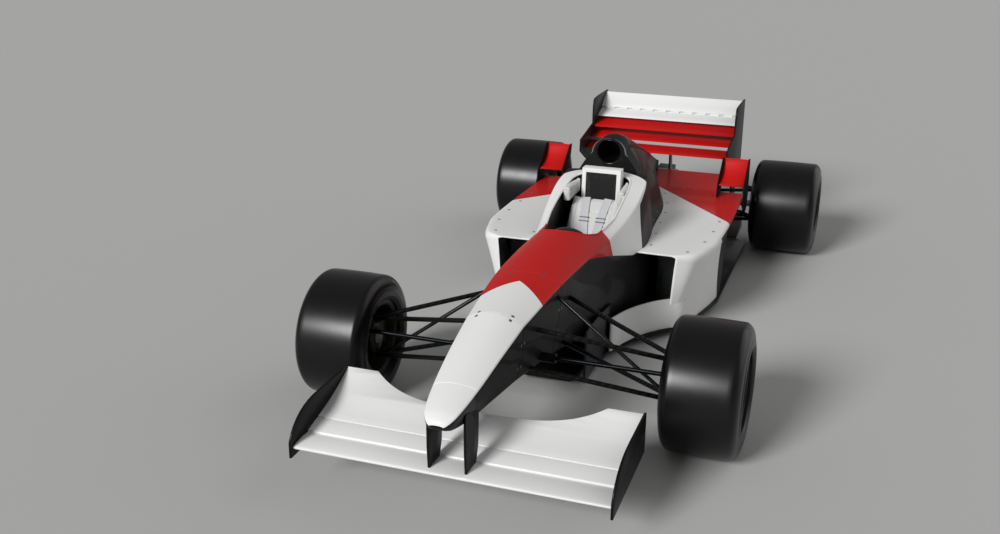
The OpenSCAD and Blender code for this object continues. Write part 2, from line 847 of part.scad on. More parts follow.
module rear_wishbones() {
    foot_x = gearbox_w / 2 - 8;
    color(carbon)
        both_sides() {
            wishbone([rear_joint_x, rear_y, rear_upper_z], [foot_x, rear_y - 200, rear_upper_z - 12],
                [foot_x, rear_y + 180, rear_upper_z - 12], stud_r + pin_gap);
            wishbone([rear_joint_x, rear_y, rear_lower_z], [foot_x, rear_y - 200, rear_lower_z - 10],
                [foot_x, rear_y + 180, rear_lower_z - 10], stud_r + pin_gap);
            // Pushrod and toe link
            rod(
                [rear_joint_x - 60, rear_y - 18, rear_lower_z + 8],
                [foot_x, rear_y - 110, rear_upper_z + 10], tube_r - 2);
            rod(
                [rear_joint_x - 6, rear_y + 86, rear_z - 40],
                [foot_x, rear_y + 120, rear_z - 50], tube_r - 3);
        }
}

// Upright with its ball joint studs and brake caliper, at the wheel centre with +X outboard
module upright(joint_x, bore_r) {
    difference() {
        union() {
            translate([joint_x - 26, -40, -joint_rise + 30])
                cube([52, 80, 2 * joint_rise - 60]);
            translate([joint_x - 26, 0, 0])
                rotate([0, 90, 0])
                    cylinder(r = 52, h = 52);
            translate([joint_x, 0, -joint_rise - eye_h / 2 - 3])
                cylinder(r = stud_r, h = 2 * joint_rise + eye_h + 6);
        }
        translate([joint_x - 60, 0, 0])
            rotate([0, 90, 0])
                cylinder(r = bore_r, h = 120);
    }
}

// Sector of a ring that spans the brake disc, between two angles about the axle
module caliper(x0, x1, r0, r1, a0, a1) {
    translate([x0, 0, 0])
        rotate([90, 0, 90])
            linear_extrude(x1 - x0)
                polygon(concat(
                    [for (i = [0 : 8]) let (a = a0 + (a1 - a0) * i / 8) r0 * [cos(a), sin(a)]],
                    [for (i = [8 : -1 : 0]) let (a = a0 + (a1 - a0) * i / 8) r1 * [cos(a), sin(a)]]));
}

disc_t = 26;
disc_gap = 6;
hub_r = 30;
disc_x = 52;
barrel_in_r = rim_r - rim_wall;

module upright_with_caliper(side_in) {
    x_disc = -side_in + disc_x;
    difference() {
        union() {
            upright(-side_in, hub_r + bearing_gap);
            caliper(-side_in - 10, x_disc + disc_t + disc_gap + 14, 80, barrel_in_r - 8, -35, 35);
            translate([-side_in - 10, 30, -30]) cube([36, 80, 60]);
        }
        translate([x_disc - disc_gap, 0, 0])
            rotate([0, 90, 0])
                cylinder(r = disc_r + disc_gap, h = disc_t + 2 * disc_gap);
    }
}

module front_upright() {
    arm_z = rack_z - front_z;
    translate([front_track / 2, front_y, front_z]) {
        upright_with_caliper(kingpin_in);
        // Steering arm
        difference() {
            union() {
                translate([-kingpin_in - 12, -steer_arm, arm_z - 30])
                    cube([24, steer_arm - 30, 12]);
                translate([-kingpin_in, -steer_arm, arm_z - 30])
                    cylinder(r = 17, h = 12);
            }
            translate([-kingpin_in, -steer_arm, arm_z - 40])
                cylinder(r = 10.5, h = 40);
        }
    }
}

module front_upright_left() {
    color(metal) front_upright();
}

module front_upright_right() {
    color(metal) mirror([1, 0, 0]) front_upright();
}

module rear_uprights() {
    color(metal)
        both_sides()
            translate([rear_track / 2, rear_y, rear_z])
                upright_with_caliper(125);
}

// Spinning hub: axle through the upright, brake disc and drive flange
module hub(side_in, flange_x, inner_l) {
    x_disc = -side_in + disc_x;
    rotate([0, 90, 0]) {
        translate([0, 0, -side_in - inner_l]) cylinder(r = hub_r, h = inner_l + x_disc + side_in);
        translate([0, 0, x_disc]) cylinder(r = disc_r, h = disc_t);
        translate([0, 0, x_disc + disc_t]) cylinder(r = 58, h = flange_x - x_disc - disc_t);
    }
}

module front_hub() {
    translate([front_track / 2, front_y, front_z])
        hub(kingpin_in, front_face_x, 36);
}

module front_hub_left() {
    color(metal) front_hub();
}

module front_hub_right() {
    color(metal) mirror([1, 0, 0]) front_hub();
}

module rear_hub() {
    joint_x = rear_track / 2 - 125;
    translate([rear_track / 2, rear_y, rear_z])
        hub(125, rear_face_x, 36);
    translate([gearbox_w / 2 - 28, rear_y, rear_z])
        rotate([0, 90, 0]) {
            cylinder(r = shaft_r, h = joint_x - 36 - gearbox_w / 2 + 28);
            translate([0, 0, 36]) cylinder(r = 40, h = 60);
        }
    translate([joint_x - 36 - 50, rear_y, rear_z])
        rotate([0, 90, 0])
            cylinder(r = 40, h = 50);
}

module rear_hub_left() {
    color(metal) rear_hub();
}

module rear_hub_right() {
    color(metal) mirror([1, 0, 0]) rear_hub();
}

// ---- Wheels ----

front_rim_w = front_tyre_w - 46;
rear_rim_w = rear_tyre_w - 50;
front_face_x = 20;
rear_face_x = 20;
face_t = 22;
flange_r = rim_r + 14;

// Rim: barrel with two flanges, and a spoked face; +X is outboard
module rim(w, face_x) {
    rotate([0, 90, 0])
        union() {
            rotate_extrude()
                polygon([
                    [barrel_in_r, -w / 2], [flange_r, -w / 2], [flange_r, -w / 2 + 8], [rim_r, -w / 2 + 12],
                    [rim_r, w / 2 - 12], [flange_r, w / 2 - 8], [flange_r, w / 2], [barrel_in_r, w / 2]]);
            translate([0, 0, face_x])
                difference() {
                    cylinder(r = barrel_in_r + 1, h = face_t);
                    for (i = [0 : spoke_count - 1])
                        rotate([0, 0, 360 / spoke_count * i])
                            translate([0, 0, -1])
                                linear_extrude(face_t + 2)
                                    polygon([
                                        [66, -10], [66, 10], [barrel_in_r - 14, 38],
                                        [barrel_in_r - 8, 0], [barrel_in_r - 14, -38]]);
                }
            // Wheel nut
            translate([0, 0, face_x + face_t]) cylinder(r = 34, h = 30);
        }
}

module front_rim() {
    translate([front_track / 2, front_y, front_z]) rim(front_rim_w, front_face_x);
}

module rear_rim() {
    translate([rear_track / 2, rear_y, rear_z]) rim(rear_rim_w, rear_face_x);
}

module front_rim_left() {
    color(carbon) front_rim();
}

module front_rim_right() {
    color(carbon) mirror([1, 0, 0]) front_rim();
}

module rear_rim_left() {
    color(carbon) rear_rim();
}

module rear_rim_right() {
    color(carbon) mirror([1, 0, 0]) rear_rim();
}

// Tyre on its rim, with quarter-round shoulders
module tyre(r, w, rim_w) {
    shoulder_w = 42;
    shoulder_h = 62;
    side = rim_w / 2 - 12;
    shoulder = [for (i = [0 : 6]) let (a = 15 * i)
        [r - shoulder_h + shoulder_h * sin(a), w / 2 - shoulder_w + shoulder_w * cos(a)]];
    half = concat(
        [[rim_r, side], [flange_r + 2, side], [flange_r + 2, rim_w / 2 + 2], [flange_r + 16, w / 2 - 4]],
        shoulder);
    rotate([0, 90, 0])
        rotate_extrude($fn = 96)
            polygon(concat(half, [for (i = [len(half) - 1 : -1 : 0]) [half[i][0], -half[i][1]]]));
}

module front_tyre() {
    translate([front_track / 2, front_y, front_z]) tyre(front_tyre_r, front_tyre_w, front_rim_w);
}

module rear_tyre() {
    translate([rear_track / 2, rear_y, rear_z]) tyre(rear_tyre_r, rear_tyre_w, rear_rim_w);
}

module front_tyre_left() {
    color(rubber) front_tyre();
}

module front_tyre_right() {
    color(rubber) mirror([1, 0, 0]) front_tyre();
}

module rear_tyre_left() {
    color(rubber) rear_tyre();
}

module rear_tyre_right() {
    color(rubber) mirror([1, 0, 0]) rear_tyre();
}

// ---- Steering ----

module steering_rack_housing() {
    color(metal)
        translate([-190, rack_y, rack_z])
            rotate([0, 90, 0])
                difference() {
                    cylinder(r = housing_r, h = 380);
                    translate([0, 0, -1]) cylinder(r = rack_r + pin_gap, h = 382);
                }
}

// Rack bar with a ball pin at each end that stands in the eye of a steering arm
module steering_rack() {
    color(metal)
        union() {
            translate([-kingpin_x, rack_y, rack_z])
                rotate([0, 90, 0])
                    cylinder(r = rack_r, h = 2 * kingpin_x);
            both_sides()
                translate([kingpin_x, rack_y, rack_z - 34])
                    cylinder(r = 4, h = 34);
            both_sides()
                translate([kingpin_x, rack_y, rack_z - 11])
                    cylinder(r = 12, h = 22);
        }
}

module steering_wheel() {
    grip_r = cockpit_half_w - 67;
    color(carbon)
        translate(column_low)
            rotate([90 - column_tilt, 0, 180]) {
                length = norm(column_high - column_low);
                cylinder(r = column_r, h = length);
                translate([0, 0, length]) {
                    translate([-70, -45, 0]) cube([140, 90, 26]);
                    translate([0, 0, 13])
                        rotate_extrude()
                            translate([grip_r, 0]) circle(r = 13, $fn = 24);
                    translate([-grip_r, -12, 4]) cube([2 * grip_r, 24, 18]);
                }
            }
}

nose_cone();
front_wing_mainplane();
front_wing_flap();
front_wing_endplates();
front_wing_pylons();
monocoque();
dashboard();
seat();
headrest();
head_frame();
head_pad();
engine_cover();
sidepod_left();
sidepod_right();
sidepod_undercuts();
bargeboards();
radiators();
floor();
diffuser();
flip_ups();
flip_up_endplates();
engine();
gearbox();
rear_crash_structure();
rear_wing_mainplane();
rear_wing_flaps();
rear_wing_beam();
rear_wing_endplates();
rear_wing_pylons();
front_wishbones();
rear_wishbones();
rear_uprights();
steering_rack_housing();
steering_rack();
steering_wheel();
front_upright_left();
front_upright_right();
front_hub_left();
front_hub_right();
rear_hub_left();
rear_hub_right();
front_rim_left();
front_rim_right();
rear_rim_left();
rear_rim_right();
front_tyre_left();
front_tyre_right();
rear_tyre_left();
rear_tyre_right();
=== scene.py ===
"""Open wheel racing car: the finish of every panel and the pieces that show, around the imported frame."""

import json
import math

import bmesh
import bpy
import numpy as np
from mathutils import Matrix, Vector
from mathutils.bvhtree import BVHTree


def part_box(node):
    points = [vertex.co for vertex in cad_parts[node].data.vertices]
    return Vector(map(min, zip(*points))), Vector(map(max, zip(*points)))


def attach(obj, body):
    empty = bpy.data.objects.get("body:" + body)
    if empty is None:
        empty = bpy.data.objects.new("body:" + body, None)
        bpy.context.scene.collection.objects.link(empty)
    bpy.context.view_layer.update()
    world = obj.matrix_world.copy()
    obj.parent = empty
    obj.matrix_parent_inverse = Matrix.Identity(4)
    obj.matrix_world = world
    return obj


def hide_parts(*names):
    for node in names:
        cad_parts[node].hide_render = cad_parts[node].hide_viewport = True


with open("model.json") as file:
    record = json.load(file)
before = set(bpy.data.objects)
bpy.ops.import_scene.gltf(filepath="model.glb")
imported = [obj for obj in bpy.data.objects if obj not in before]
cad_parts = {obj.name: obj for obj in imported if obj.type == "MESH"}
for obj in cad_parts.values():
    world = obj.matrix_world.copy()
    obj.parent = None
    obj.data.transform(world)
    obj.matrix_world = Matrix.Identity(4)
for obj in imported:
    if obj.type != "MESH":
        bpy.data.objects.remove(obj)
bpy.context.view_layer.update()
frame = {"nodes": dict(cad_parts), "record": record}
NODES = frame["nodes"]
MM = 0.001

# ---- Places read from the frame ----


def middle(node):
    """The middle of a node's box, in metres."""
    low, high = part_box(node)
    return (low + high) / 2


FRONT = middle("front_tyre_left")
REAR = middle("rear_tyre_left")
WHEELS = {
    "front_left": FRONT,
    "front_right": middle("front_tyre_right"),
    "rear_left": REAR,
    "rear_right": middle("rear_tyre_right"),
}
FRONT_Y = FRONT.y / MM
REAR_Y = REAR.y / MM
FLOOR_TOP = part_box("floor")[1].z / MM
RIDE_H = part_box("floor")[0].z / MM
DECK_END_Y = REAR_Y + 25
COVER_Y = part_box("engine_cover")[0].y / MM
CHASSIS = "chassis"


def behind_front(d):
    """The y that lies d behind the front axle."""
    return FRONT_Y + d


def behind_rear(d):
    """The y that lies d behind the rear axle."""
    return REAR_Y + d


# ---- Camera, light and floor ----


def placed(name, data):
    """A new object in the scene that shows the data."""
    thing = bpy.data.objects.new(name, data)
    bpy.context.scene.collection.objects.link(thing)
    return thing


def make_camera():
    """Three-quarter view from the front left, a little above head height."""
    place = Vector((1.449, -5.639, 2.420))
    forward = Vector((-0.3115, 0.888, -0.3382))
    up = Vector((-0.1177, 0.3171, 0.9411))
    right = forward.cross(up).normalized()
    up = right.cross(forward).normalized()
    data = bpy.data.cameras.new("camera")
    data.lens = 40.31
    data.sensor_width = 36
    camera = placed("camera", data)
    camera.matrix_world = Matrix(
        (
            (right.x, up.x, -forward.x, place.x),
            (right.y, up.y, -forward.y, place.y),
            (right.z, up.z, -forward.z, place.z),
            (0, 0, 0, 1),
        )
    )
    bpy.context.scene.camera = camera


make_camera()


# ---- Materials ----


def linear(hex_colour, shade=1.0):
    """An sRGB hex colour, darkened by the shade, as linear red, green, blue and alpha."""
    channels = [int(hex_colour[i : i + 2], 16) / 255 for i in (1, 3, 5)]
    return [shade * (c / 12.92 if c <= 0.04045 else ((c + 0.055) / 1.055) ** 2.4) for c in channels] + [1.0]


def add(tree, kind, *inputs, out=0, **settings):
    """Adds one node with its settings and gives one of its outputs. The inputs are values or sockets to
    link, in the node's order or, where they have names or numbers, as one dictionary."""
    node = tree.nodes.new("ShaderNode" + kind)
    for name, value in settings.items():
        setattr(node, name, value)
    named = inputs[0] if inputs and isinstance(inputs[0], dict) else dict(enumerate(inputs))
    for name, value in named.items():
        if isinstance(value, bpy.types.NodeSocket):
            tree.links.new(value, node.inputs[name])
        else:
            node.inputs[name].default_value = value
    return node.outputs[out]


def surface(name, **inputs):
    """A material with one principled shader; returns the material, its tree and the shader."""
    material = bpy.data.materials.new(name)
    material.use_nodes = True
    tree = material.node_tree
    shader = tree.nodes["Principled BSDF"]
    for key, value in inputs.items():
        shader.inputs[key.replace("_", " ")].default_value = value
    return material, tree, shader


def axes(tree):
    """The x, y and z of the point on the piece, in metres."""
    return add(tree, "SeparateXYZ", add(tree, "TexCoord", out="Object")).node.outputs


def grain(tree, size_mm, detail=2.0):
    """Noise whose grains are about size_mm across."""
    spot = add(tree, "TexCoord", out="Object")
    return add(tree, "TexNoise", {"Vector": spot, "Scale": 1 / (size_mm * MM), "Detail": detail}, out="Fac")


def roughened(tree, shader, height, distance_mm, strength=1.0):
    """Bumps the shader's surface by the height, distance_mm deep."""
    bump = add(tree, "Bump", {"Height": height, "Distance": distance_mm * MM, "Strength": strength})
    tree.links.new(bump, shader.inputs["Normal"])


def coloured(tree, shader, mask, low, high):
    """Colours the surface low where the mask is 0 and high where it is 1; both are linear."""
    blend = add(tree, "Mix", {0: mask, 6: low, 7: high}, data_type="RGBA", out=2)
    tree.links.new(blend, shader.inputs["Base Color"])


def unevenly_rough(tree, shader, pattern, low, high):
    """Takes the surface's roughness from low to high with the pattern."""
    rough = add(tree, "MapRange", {"Value": pattern, "To Min": low, "To Max": high})
    tree.links.new(rough, shader.inputs["Roughness"])


def stripes(tree, along, pitch_mm, share):
    """A mask that is 1 on the first share of every pitch_mm."""
    pitches = add(tree, "Math", along, 1 / (pitch_mm * MM), operation="MULTIPLY")
    return add(tree, "Math", add(tree, "Math", pitches, operation="FRACT"), share, operation="LESS_THAN")


def crossed_waves(tree, pitch_mm):
    """The product of a wave across the car and one up it, each pitch_mm long."""
    x, y, z = axes(tree)
    waves = []
    for at in (x, z):
        turn = add(tree, "Math", at, math.tau / (pitch_mm * MM), operation="MULTIPLY")
        waves.append(add(tree, "Math", turn, operation="SINE"))
    return add(tree, "Math", *waves, operation="MULTIPLY")


WHITE = "#f0f0ef"
RED = "#c60402"
BLACK = "#050506"


def lacquer(name, base, patches=(), dust=0.03, gloss=0.2):
    """Two-pack gloss lacquer sprayed on carbon panels: even colour under a clear coat, with faint orange peel
    in its reflections. Each patch is a colour and a function of the tree that gives its mask; some patches
    are painted shade."""
    material, tree, shader = surface(
        name,
        Roughness=0.55,
        Specular_IOR_Level=gloss,
        Coat_Weight=0.7 * gloss,
        Coat_Roughness=0.06,
        Base_Color=linear(base),
    )
    colour = linear(base)
    for patch, mask in patches:
        colour = add(tree, "Mix", {0: mask(tree), 6: colour, 7: linear(patch)}, data_type="RGBA", out=2)
    dusty = add(tree, "Math", grain(tree, 180, 4.0), dust, operation="MULTIPLY")
    coloured(tree, shader, dusty, colour, linear("#8c8a86"))
    roughened(tree, shader, grain(tree, 3), 0.02, 0.35)
    return material


def past(value, slope_of, rise, start):
    """A mask that is 1 where value + rise * slope_of is more than start."""

    def mask(tree):
        x, y, z = axes(tree)
        named = {"x": x, "y": y, "z": z, "side": add(tree, "Math", x, operation="ABSOLUTE")}
        total = add(tree, "Math", named[slope_of], rise, named[value], operation="MULTIPLY_ADD")
        return add(tree, "Math", total, start * MM, operation="GREATER_THAN")

    return mask


def both(first, second):
    """A mask that is 1 where both masks are."""
    return lambda tree: add(tree, "Math", first(tree), second(tree), operation="MULTIPLY")


def no(mask):
    """A mask that is 1 where the mask is 0."""
    return lambda tree: add(tree, "Math", 1.0, mask(tree), operation="SUBTRACT")


def carbon_twill(name, across, along, thread_mm=6.0):
    """Clear-coated carbon fibre in 2x2 twill: near black with fine diagonal steps of sheen, partly real
    roughness and partly painted sheen in a lighter black. Real tows are 2 mm wide, drawn at 6 mm so that they
    show."""
    coat = {"Coat_Weight": 0.16, "Coat_Roughness": 0.1}
    material, tree, shader = surface(name, Roughness=0.35, Specular_IOR_Level=0.14, **coat)
    named = dict(zip("xyz", axes(tree)))
    cells = []
    for axis in (across, along):
        threads = add(tree, "Math", named[axis], thread_mm * MM, operation="DIVIDE")
        cells.append(add(tree, "Math", threads, operation="FLOOR"))
    steps = add(tree, "Math", *cells, operation="SUBTRACT")
    diagonal = add(tree, "Math", steps, 4.0, operation="FLOORED_MODULO")
    warp_rough_and_painted_sheen = add(tree, "Math", diagonal, 2.0, operation="LESS_THAN")
    # Painted sheen: every other pair of tows is a lighter black, for the light off the fibres; the roughness
    # change beside it is real.
    coloured(tree, shader, warp_rough_and_painted_sheen, linear(BLACK), linear("#101113"))
    unevenly_rough(tree, shader, warp_rough_and_painted_sheen, 0.28, 0.46)
    roughened(tree, shader, warp_rough_and_painted_sheen, 0.05, 0.2)
    return material


def slick_rubber():
    """Moulded slick-tyre rubber, scrubbed in on its tread: dull black with a broad soft highlight."""
    coat = {"Coat_Weight": 0.12, "Coat_Roughness": 0.28}
    material, tree, shader = surface("slick_rubber", Roughness=0.3, Specular_IOR_Level=0.3, **coat)
    coloured(tree, shader, grain(tree, 14, 6.0), linear("#030303"), linear("#0a0a0b"))
    unevenly_rough(tree, shader, grain(tree, 60, 3.0), 0.27, 0.36)
    roughened(tree, shader, grain(tree, 2.2, 3.0), 0.15, 0.35)
    return material


def cast_magnesium(name, colour):
    """Sand-cast magnesium, chromate dipped: dull metal with a sandy skin."""
    material, tree, shader = surface(name, Metallic=1.0, Roughness=0.5)
    coloured(tree, shader, grain(tree, 40, 4.0), linear(colour, 0.6), linear(colour))
    unevenly_rough(tree, shader, grain(tree, 12, 3.0), 0.38, 0.62)
    roughened(tree, shader, grain(tree, 1.5, 2.0), 0.2, 0.5)
    return material


def turned_steel(name, colour="#a9abad"):
    """Machined steel or titanium: bright metal with fine tool marks."""
    material, tree, shader = surface(name, Metallic=1.0, Roughness=0.28, Base_Color=linear(colour))
    marks = grain(tree, 10 / 9)
    unevenly_rough(tree, shader, marks, 0.2, 0.42)
    roughened(tree, shader, marks, 0.03, 0.4)
    return material


def woven_cloth(name, colour, thread_mm, shade=0.72):
    """Close-woven flame-proof cloth: matt, with a fine grid of threads drawn coarse enough to show; every
    other cell of the grid is darker, as painted shade.
    """
    material, tree, shader = surface(name, Roughness=0.9, Sheen_Weight=0.25, Sheen_Roughness=0.5)
    weave_bumps_and_painted_shade = add(tree, "Math", crossed_waves(tree, 2 * thread_mm), 0.5, 0.5, operation="MULTIPLY_ADD")
    # Painted shade: every other cell of the weave is darkened by the shade factor.
    coloured(tree, shader, weave_bumps_and_painted_shade, linear(colour, shade), linear(colour))
    roughened(tree, shader, weave_bumps_and_painted_shade, 0.3, 0.5)
    return material


def moulded_plastic(name, colour, roughness=0.45):
    """Injection-moulded plastic with a fine spark-eroded texture."""
    material, tree, shader = surface(name, Roughness=roughness, Base_Color=linear(colour))
    roughened(tree, shader, grain(tree, 0.8), 0.05, 0.3)
    return material


PAINT_WHITE = lacquer("lacquer_white", WHITE)
PAINT_RED = lacquer("lacquer_red", RED)
PAINT_BLACK = lacquer("lacquer_black", BLACK, dust=0.005, gloss=0.14)
# Painted shade: grey standing for white lacquer in shade, used on the intake's lip.
PAINT_GREY_AS_SHADE = lacquer("lacquer_grey_as_shade", "#77787a")
CARBON_SIDE = carbon_twill("carbon_twill_upright", "y", "z")
CARBON_FLAT = carbon_twill("carbon_twill_flat", "x", "y")
RUBBER = slick_rubber()
MAGNESIUM = cast_magnesium("cast_magnesium", "#4a4944")
STEEL = turned_steel("turned_steel")
NUT_RED = turned_steel("anodised_red", "#8a1410")
NUT_BLUE = turned_steel("anodised_blue", "#1d3f86")


# ---- Mesh tools; shapes are drawn in millimetres ----


def finish_mesh(mesh, sharp_deg):
    """Shades a mesh smooth, with sharp edges where its faces turn by more than sharp_deg."""
    mesh.polygons.foreach_set("use_smooth", [True] * len(mesh.polygons))
    mesh.set_sharp_from_angle(angle=math.radians(sharp_deg))
    mesh.update()


def piece(name, points, faces, materials, body=CHASSIS, sharp_deg=35, slots=None):
    """A shown piece that rides on a body. slots gives the material number of each face."""
    mesh = bpy.data.meshes.new(name)
    mesh.from_pydata([tuple(c * MM for c in p) for p in points], [], faces)
    for material in materials if isinstance(materials, (list, tuple)) else [materials]:
        mesh.materials.append(material)
    if slots is not None:
        mesh.polygons.foreach_set("material_index", slots)
    thing = placed(name, mesh)
    tidy = bmesh.new()
    tidy.from_mesh(mesh)
    bmesh.ops.recalc_face_normals(tidy, faces=tidy.faces)
    tidy.to_mesh(mesh)
    tidy.free()
    finish_mesh(mesh, sharp_deg)
    if body:
        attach(thing, body)
    return thing


def loft(rings, closed=True, caps=True):
    """Points and faces of a skin through rings that have equal numbers of points."""
    count = len(rings[0])
    span = count if closed else count - 1
    points = [p for ring in rings for p in ring]
    faces = [
        (k * count + i, k * count + (i + 1) % count, (k + 1) * count + (i + 1) % count, (k + 1) * count + i)
        for k in range(len(rings) - 1)
        for i in range(span)
    ]
    if caps:
        faces.append(tuple(range(count))[::-1])
        faces.append(tuple((len(rings) - 1) * count + i for i in range(count)))
    return points, faces


def spread(a, b, steps):
    """Evenly spaced values from a to b, both included."""
    return [a + (b - a) * i / steps for i in range(steps + 1)]


def bezier(a, b, c, steps):
    """Points of a quadratic curve from a to c that leaves towards b."""
    a, b, c = (np.array(p, float) for p in (a, b, c))
    return [tuple((1 - u) ** 2 * a + 2 * u * (1 - u) * b + u * u * c) for u in spread(0, 1, steps)]


def line(a, b, steps):
    """Evenly spaced points from a to b."""
    a, b = np.array(a, float), np.array(b, float)
    return [tuple(a + (b - a) * u) for u in spread(0, 1, steps)]


def corner(before, at, after, radius, steps=6):
    """A rounded corner between two straight edges."""
    at = np.array(at, float)
    ways = [np.array(p, float) - at for p in (before, after)]
    start, end = (at + way / np.linalg.norm(way) * radius for way in ways)
    return bezier(start, at, end, steps)


def through(rows, y, column):
    """Smooth curve through the rows of a table, whose first column is the distance along the car."""
    i = next((k for k in range(len(rows) - 2) if y <= rows[k + 1][0]), len(rows) - 2)

    def slope(k):
        a, b = max(k - 1, 0), min(k + 1, len(rows) - 1)
        return (rows[b][column] - rows[a][column]) / (rows[b][0] - rows[a][0])

    step = rows[i + 1][0] - rows[i][0]
    u = (y - rows[i][0]) / step
    return (
        (2 * u**3 - 3 * u**2 + 1) * rows[i][column]
        + (u**3 - 2 * u**2 + u) * slope(i) * step
        + (3 * u**2 - 2 * u**3) * rows[i + 1][column]
        + (u**3 - u**2) * slope(i + 1) * step
    )


def tube(path, radius, sides=12, closed=False):
    """Points and faces of a round tube along a path."""
    path = [np.array(p, float) for p in path]
    count = len(path)
    tangents = []
    for i in range(count):
        a = path[(i - 1) % count] if closed or i > 0 else path[i]
        b = path[(i + 1) % count] if closed or i < count - 1 else path[i]
        tangents.append((b - a) / np.linalg.norm(b - a))
    side = np.cross(tangents[0], (0.31, 0.22, 0.93))
    side /= np.linalg.norm(side)
    rings = []
    radii = radius if isinstance(radius, (list, tuple)) else [radius] * count
    for p, t, r in zip(path, tangents, radii):
        side = side - t * np.dot(side, t)
        side /= np.linalg.norm(side)
        other = np.cross(t, side)
        turns = [2 * math.pi * k / sides for k in range(sides)]
        rings.append([tuple(p + r * (math.cos(a) * side + math.sin(a) * other)) for a in turns])
    if closed:
        rings.append(rings[0])
    return loft(rings, caps=not closed)


def revolve(profile, centre, segments):
    """A ring turned about the wheel axis through centre; the profile is (radius, x) pairs, closed."""
    rings = []
    for k in range(segments + 1):
        a = 2 * math.pi * k / segments
        rings.append(
            [(centre[0] + x, centre[1] + r * math.cos(a), centre[2] + r * math.sin(a)) for r, x in profile]
        )
    points, faces = loft(rings, caps=False)
    count = len(profile)
    last = segments * count
    faces = [tuple(i - last if i >= last else i for i in face) for face in faces]
    return points[:last], faces


def joined(*shapes):
    """Several (points, faces) shapes as one."""
    points, faces = [], []
    for shape_points, shape_faces in shapes:
        faces += [tuple(i + len(points) for i in face) for face in shape_faces]
        points += list(shape_points)
    return points, faces


def mirrored(shape):
    """The shape on the car's other side."""
    return [(-x, y, z) for x, y, z in shape[0]], [face[::-1] for face in shape[1]]


def box_shape(low, high, edge=1.5):
    """A box whose twelve edges are chamfered, as three crossed slabs of corners."""
    (x0, y0, z0), (x1, y1, z1) = low, high
    rings = []
    for z, inset in ((z0, edge), (z0 + edge, 0), (z1 - edge, 0), (z1, edge)):
        a, b, c, d, e = x0 + inset, x1 - inset, y0 + inset, y1 - inset, edge
        rings.append(
            [(a + e, c, z), (b - e, c, z), (b, c + e, z), (b, d - e, z)]
            + [(b - e, d, z), (a + e, d, z), (a, d - e, z), (a, c + e, z)]
        )
    return loft(rings)


def turned(shape, matrix):
    """A shape moved by a 4x4 matrix whose place is in millimetres."""
    return [tuple(matrix @ Vector(p)) for p in shape[0]], shape[1]


def disc(radius, height, sides=20, dome=0.0, edge=0.8):
    """A low round boss that stands on z = 0, for screw heads and buttons."""
    rows = [(radius, 0), (radius, height - edge), (radius - edge, height)]
    rows.append((radius * 0.5, height + dome * 0.8))
    turns = [2 * math.pi * k / sides for k in range(sides)]
    return loft([[(r * math.cos(a), r * math.sin(a), z) for a in turns] for r, z in rows])


def facing(direction):
    """The turn that points a shape's z axis along the direction."""
    return Vector(direction).to_track_quat("Z", "Y").to_matrix().to_4x4()


def rounded_box(x0, x1, z0, z1, radii):
    """Outline of a box with rounded corners, from the corner (x0, z0) round by (x1, z0)."""
    ends = [(x0, z0), (x1, z0), (x1, z1), (x0, z1)]
    return [p for k, r in enumerate(radii) for p in corner(ends[k - 1], ends[k], ends[(k + 1) % 4], r)]


def closed_ring(half, y):
    """A ring at y from the (x, z) points of its left half and their mirror image."""
    return [(x, y, z) for x, z in half] + [(-x, y, z) for x, z in half[-2:0:-1]]


def bake(thing):
    """Applies the modifiers to the mesh."""
    bpy.context.view_layer.update()
    depsgraph = bpy.context.evaluated_depsgraph_get()
    mesh = bpy.data.meshes.new_from_object(thing.evaluated_get(depsgraph))
    thing.modifiers.clear()
    thing.data = mesh
    mesh.polygons.foreach_set("use_smooth", [True] * len(mesh.polygons))
    mesh.update()


def cut(thing, *cutters):
    """Takes the cutters' shapes out of a piece; the new walls keep the cutter's material."""
    for cutter in cutters:
        for material in cutter.data.materials:
            if material.name not in thing.data.materials:
                thing.data.materials.append(material)
        modifier = thing.modifiers.new("cut", "BOOLEAN")
        modifier.operation = "DIFFERENCE"
        modifier.solver = "EXACT"
        modifier.material_mode = "TRANSFER"
        modifier.object = cutter
    bake(thing)
    finish_mesh(thing.data, 35)
    for cutter in cutters:
        bpy.data.objects.remove(cutter)


# ---- Tub and nose ----

NOSE_TIP = behind_front(-1010)
TIP_SEAM = behind_front(-819)
NOSE_JOINT = behind_front(-368)
HATCH_END = behind_front(66)
TUB_END = behind_front(1520)
WAIST = [
    (behind_front(830), 222), (behind_front(1130), 300), (behind_front(1350), 292),
    (TUB_END, 270), (behind_rear(-980), 240), (behind_rear(-758), 193),
    (behind_rear(-400), 92), (behind_rear(-60), 6), (DECK_END_Y, 5),
]  # fmt: skip


def deck(y):
    """Height of the sidepod deck."""
    return 510 - 40 * (y - behind_front(1060)) / (DECK_END_Y - behind_front(1060))


# y, bottom half width and height, side half width and height, shoulder half width and height, crown height
NOSE = [
    (NOSE_TIP, 26, 440, 38, 450, 42, 462, 472),
    (behind_front(-965), 50, 424, 64, 456, 68, 486, 500),
    (TIP_SEAM, 70, 404, 89, 468, 93, 525, 547),
    (behind_front(-600), 84, 384, 108, 486, 113, 577, 609),
    (NOSE_JOINT, 97, 362, 124, 505, 129, 622, 668),
]
TUB = [
    (NOSE_JOINT, 97, 362, 124, 505, 129, 622, 668),
    (HATCH_END, 122, 302, 156, 500, 163, 657, 701),
    (behind_front(450), 146, 214, 180, 500, 181, 653, 727),
    (behind_front(700), 176, 104, 204, 512, 187, 641, 738),
    (behind_front(830), 200, FLOOR_TOP, 222, 510, 191, 634, 744),
    (behind_front(1130), 292, FLOOR_TOP, 300, deck(behind_front(1130)), 236, 700, 786),
    (behind_front(1350), 288, FLOOR_TOP, 292, deck(behind_front(1350)), 246, 764, 806),
    (TUB_END, 266, FLOOR_TOP, 270, deck(TUB_END), 232, 800, 812),
]
SHOULDER_R = 9
TOP_STEPS = 24
FLANK_POINTS = 30


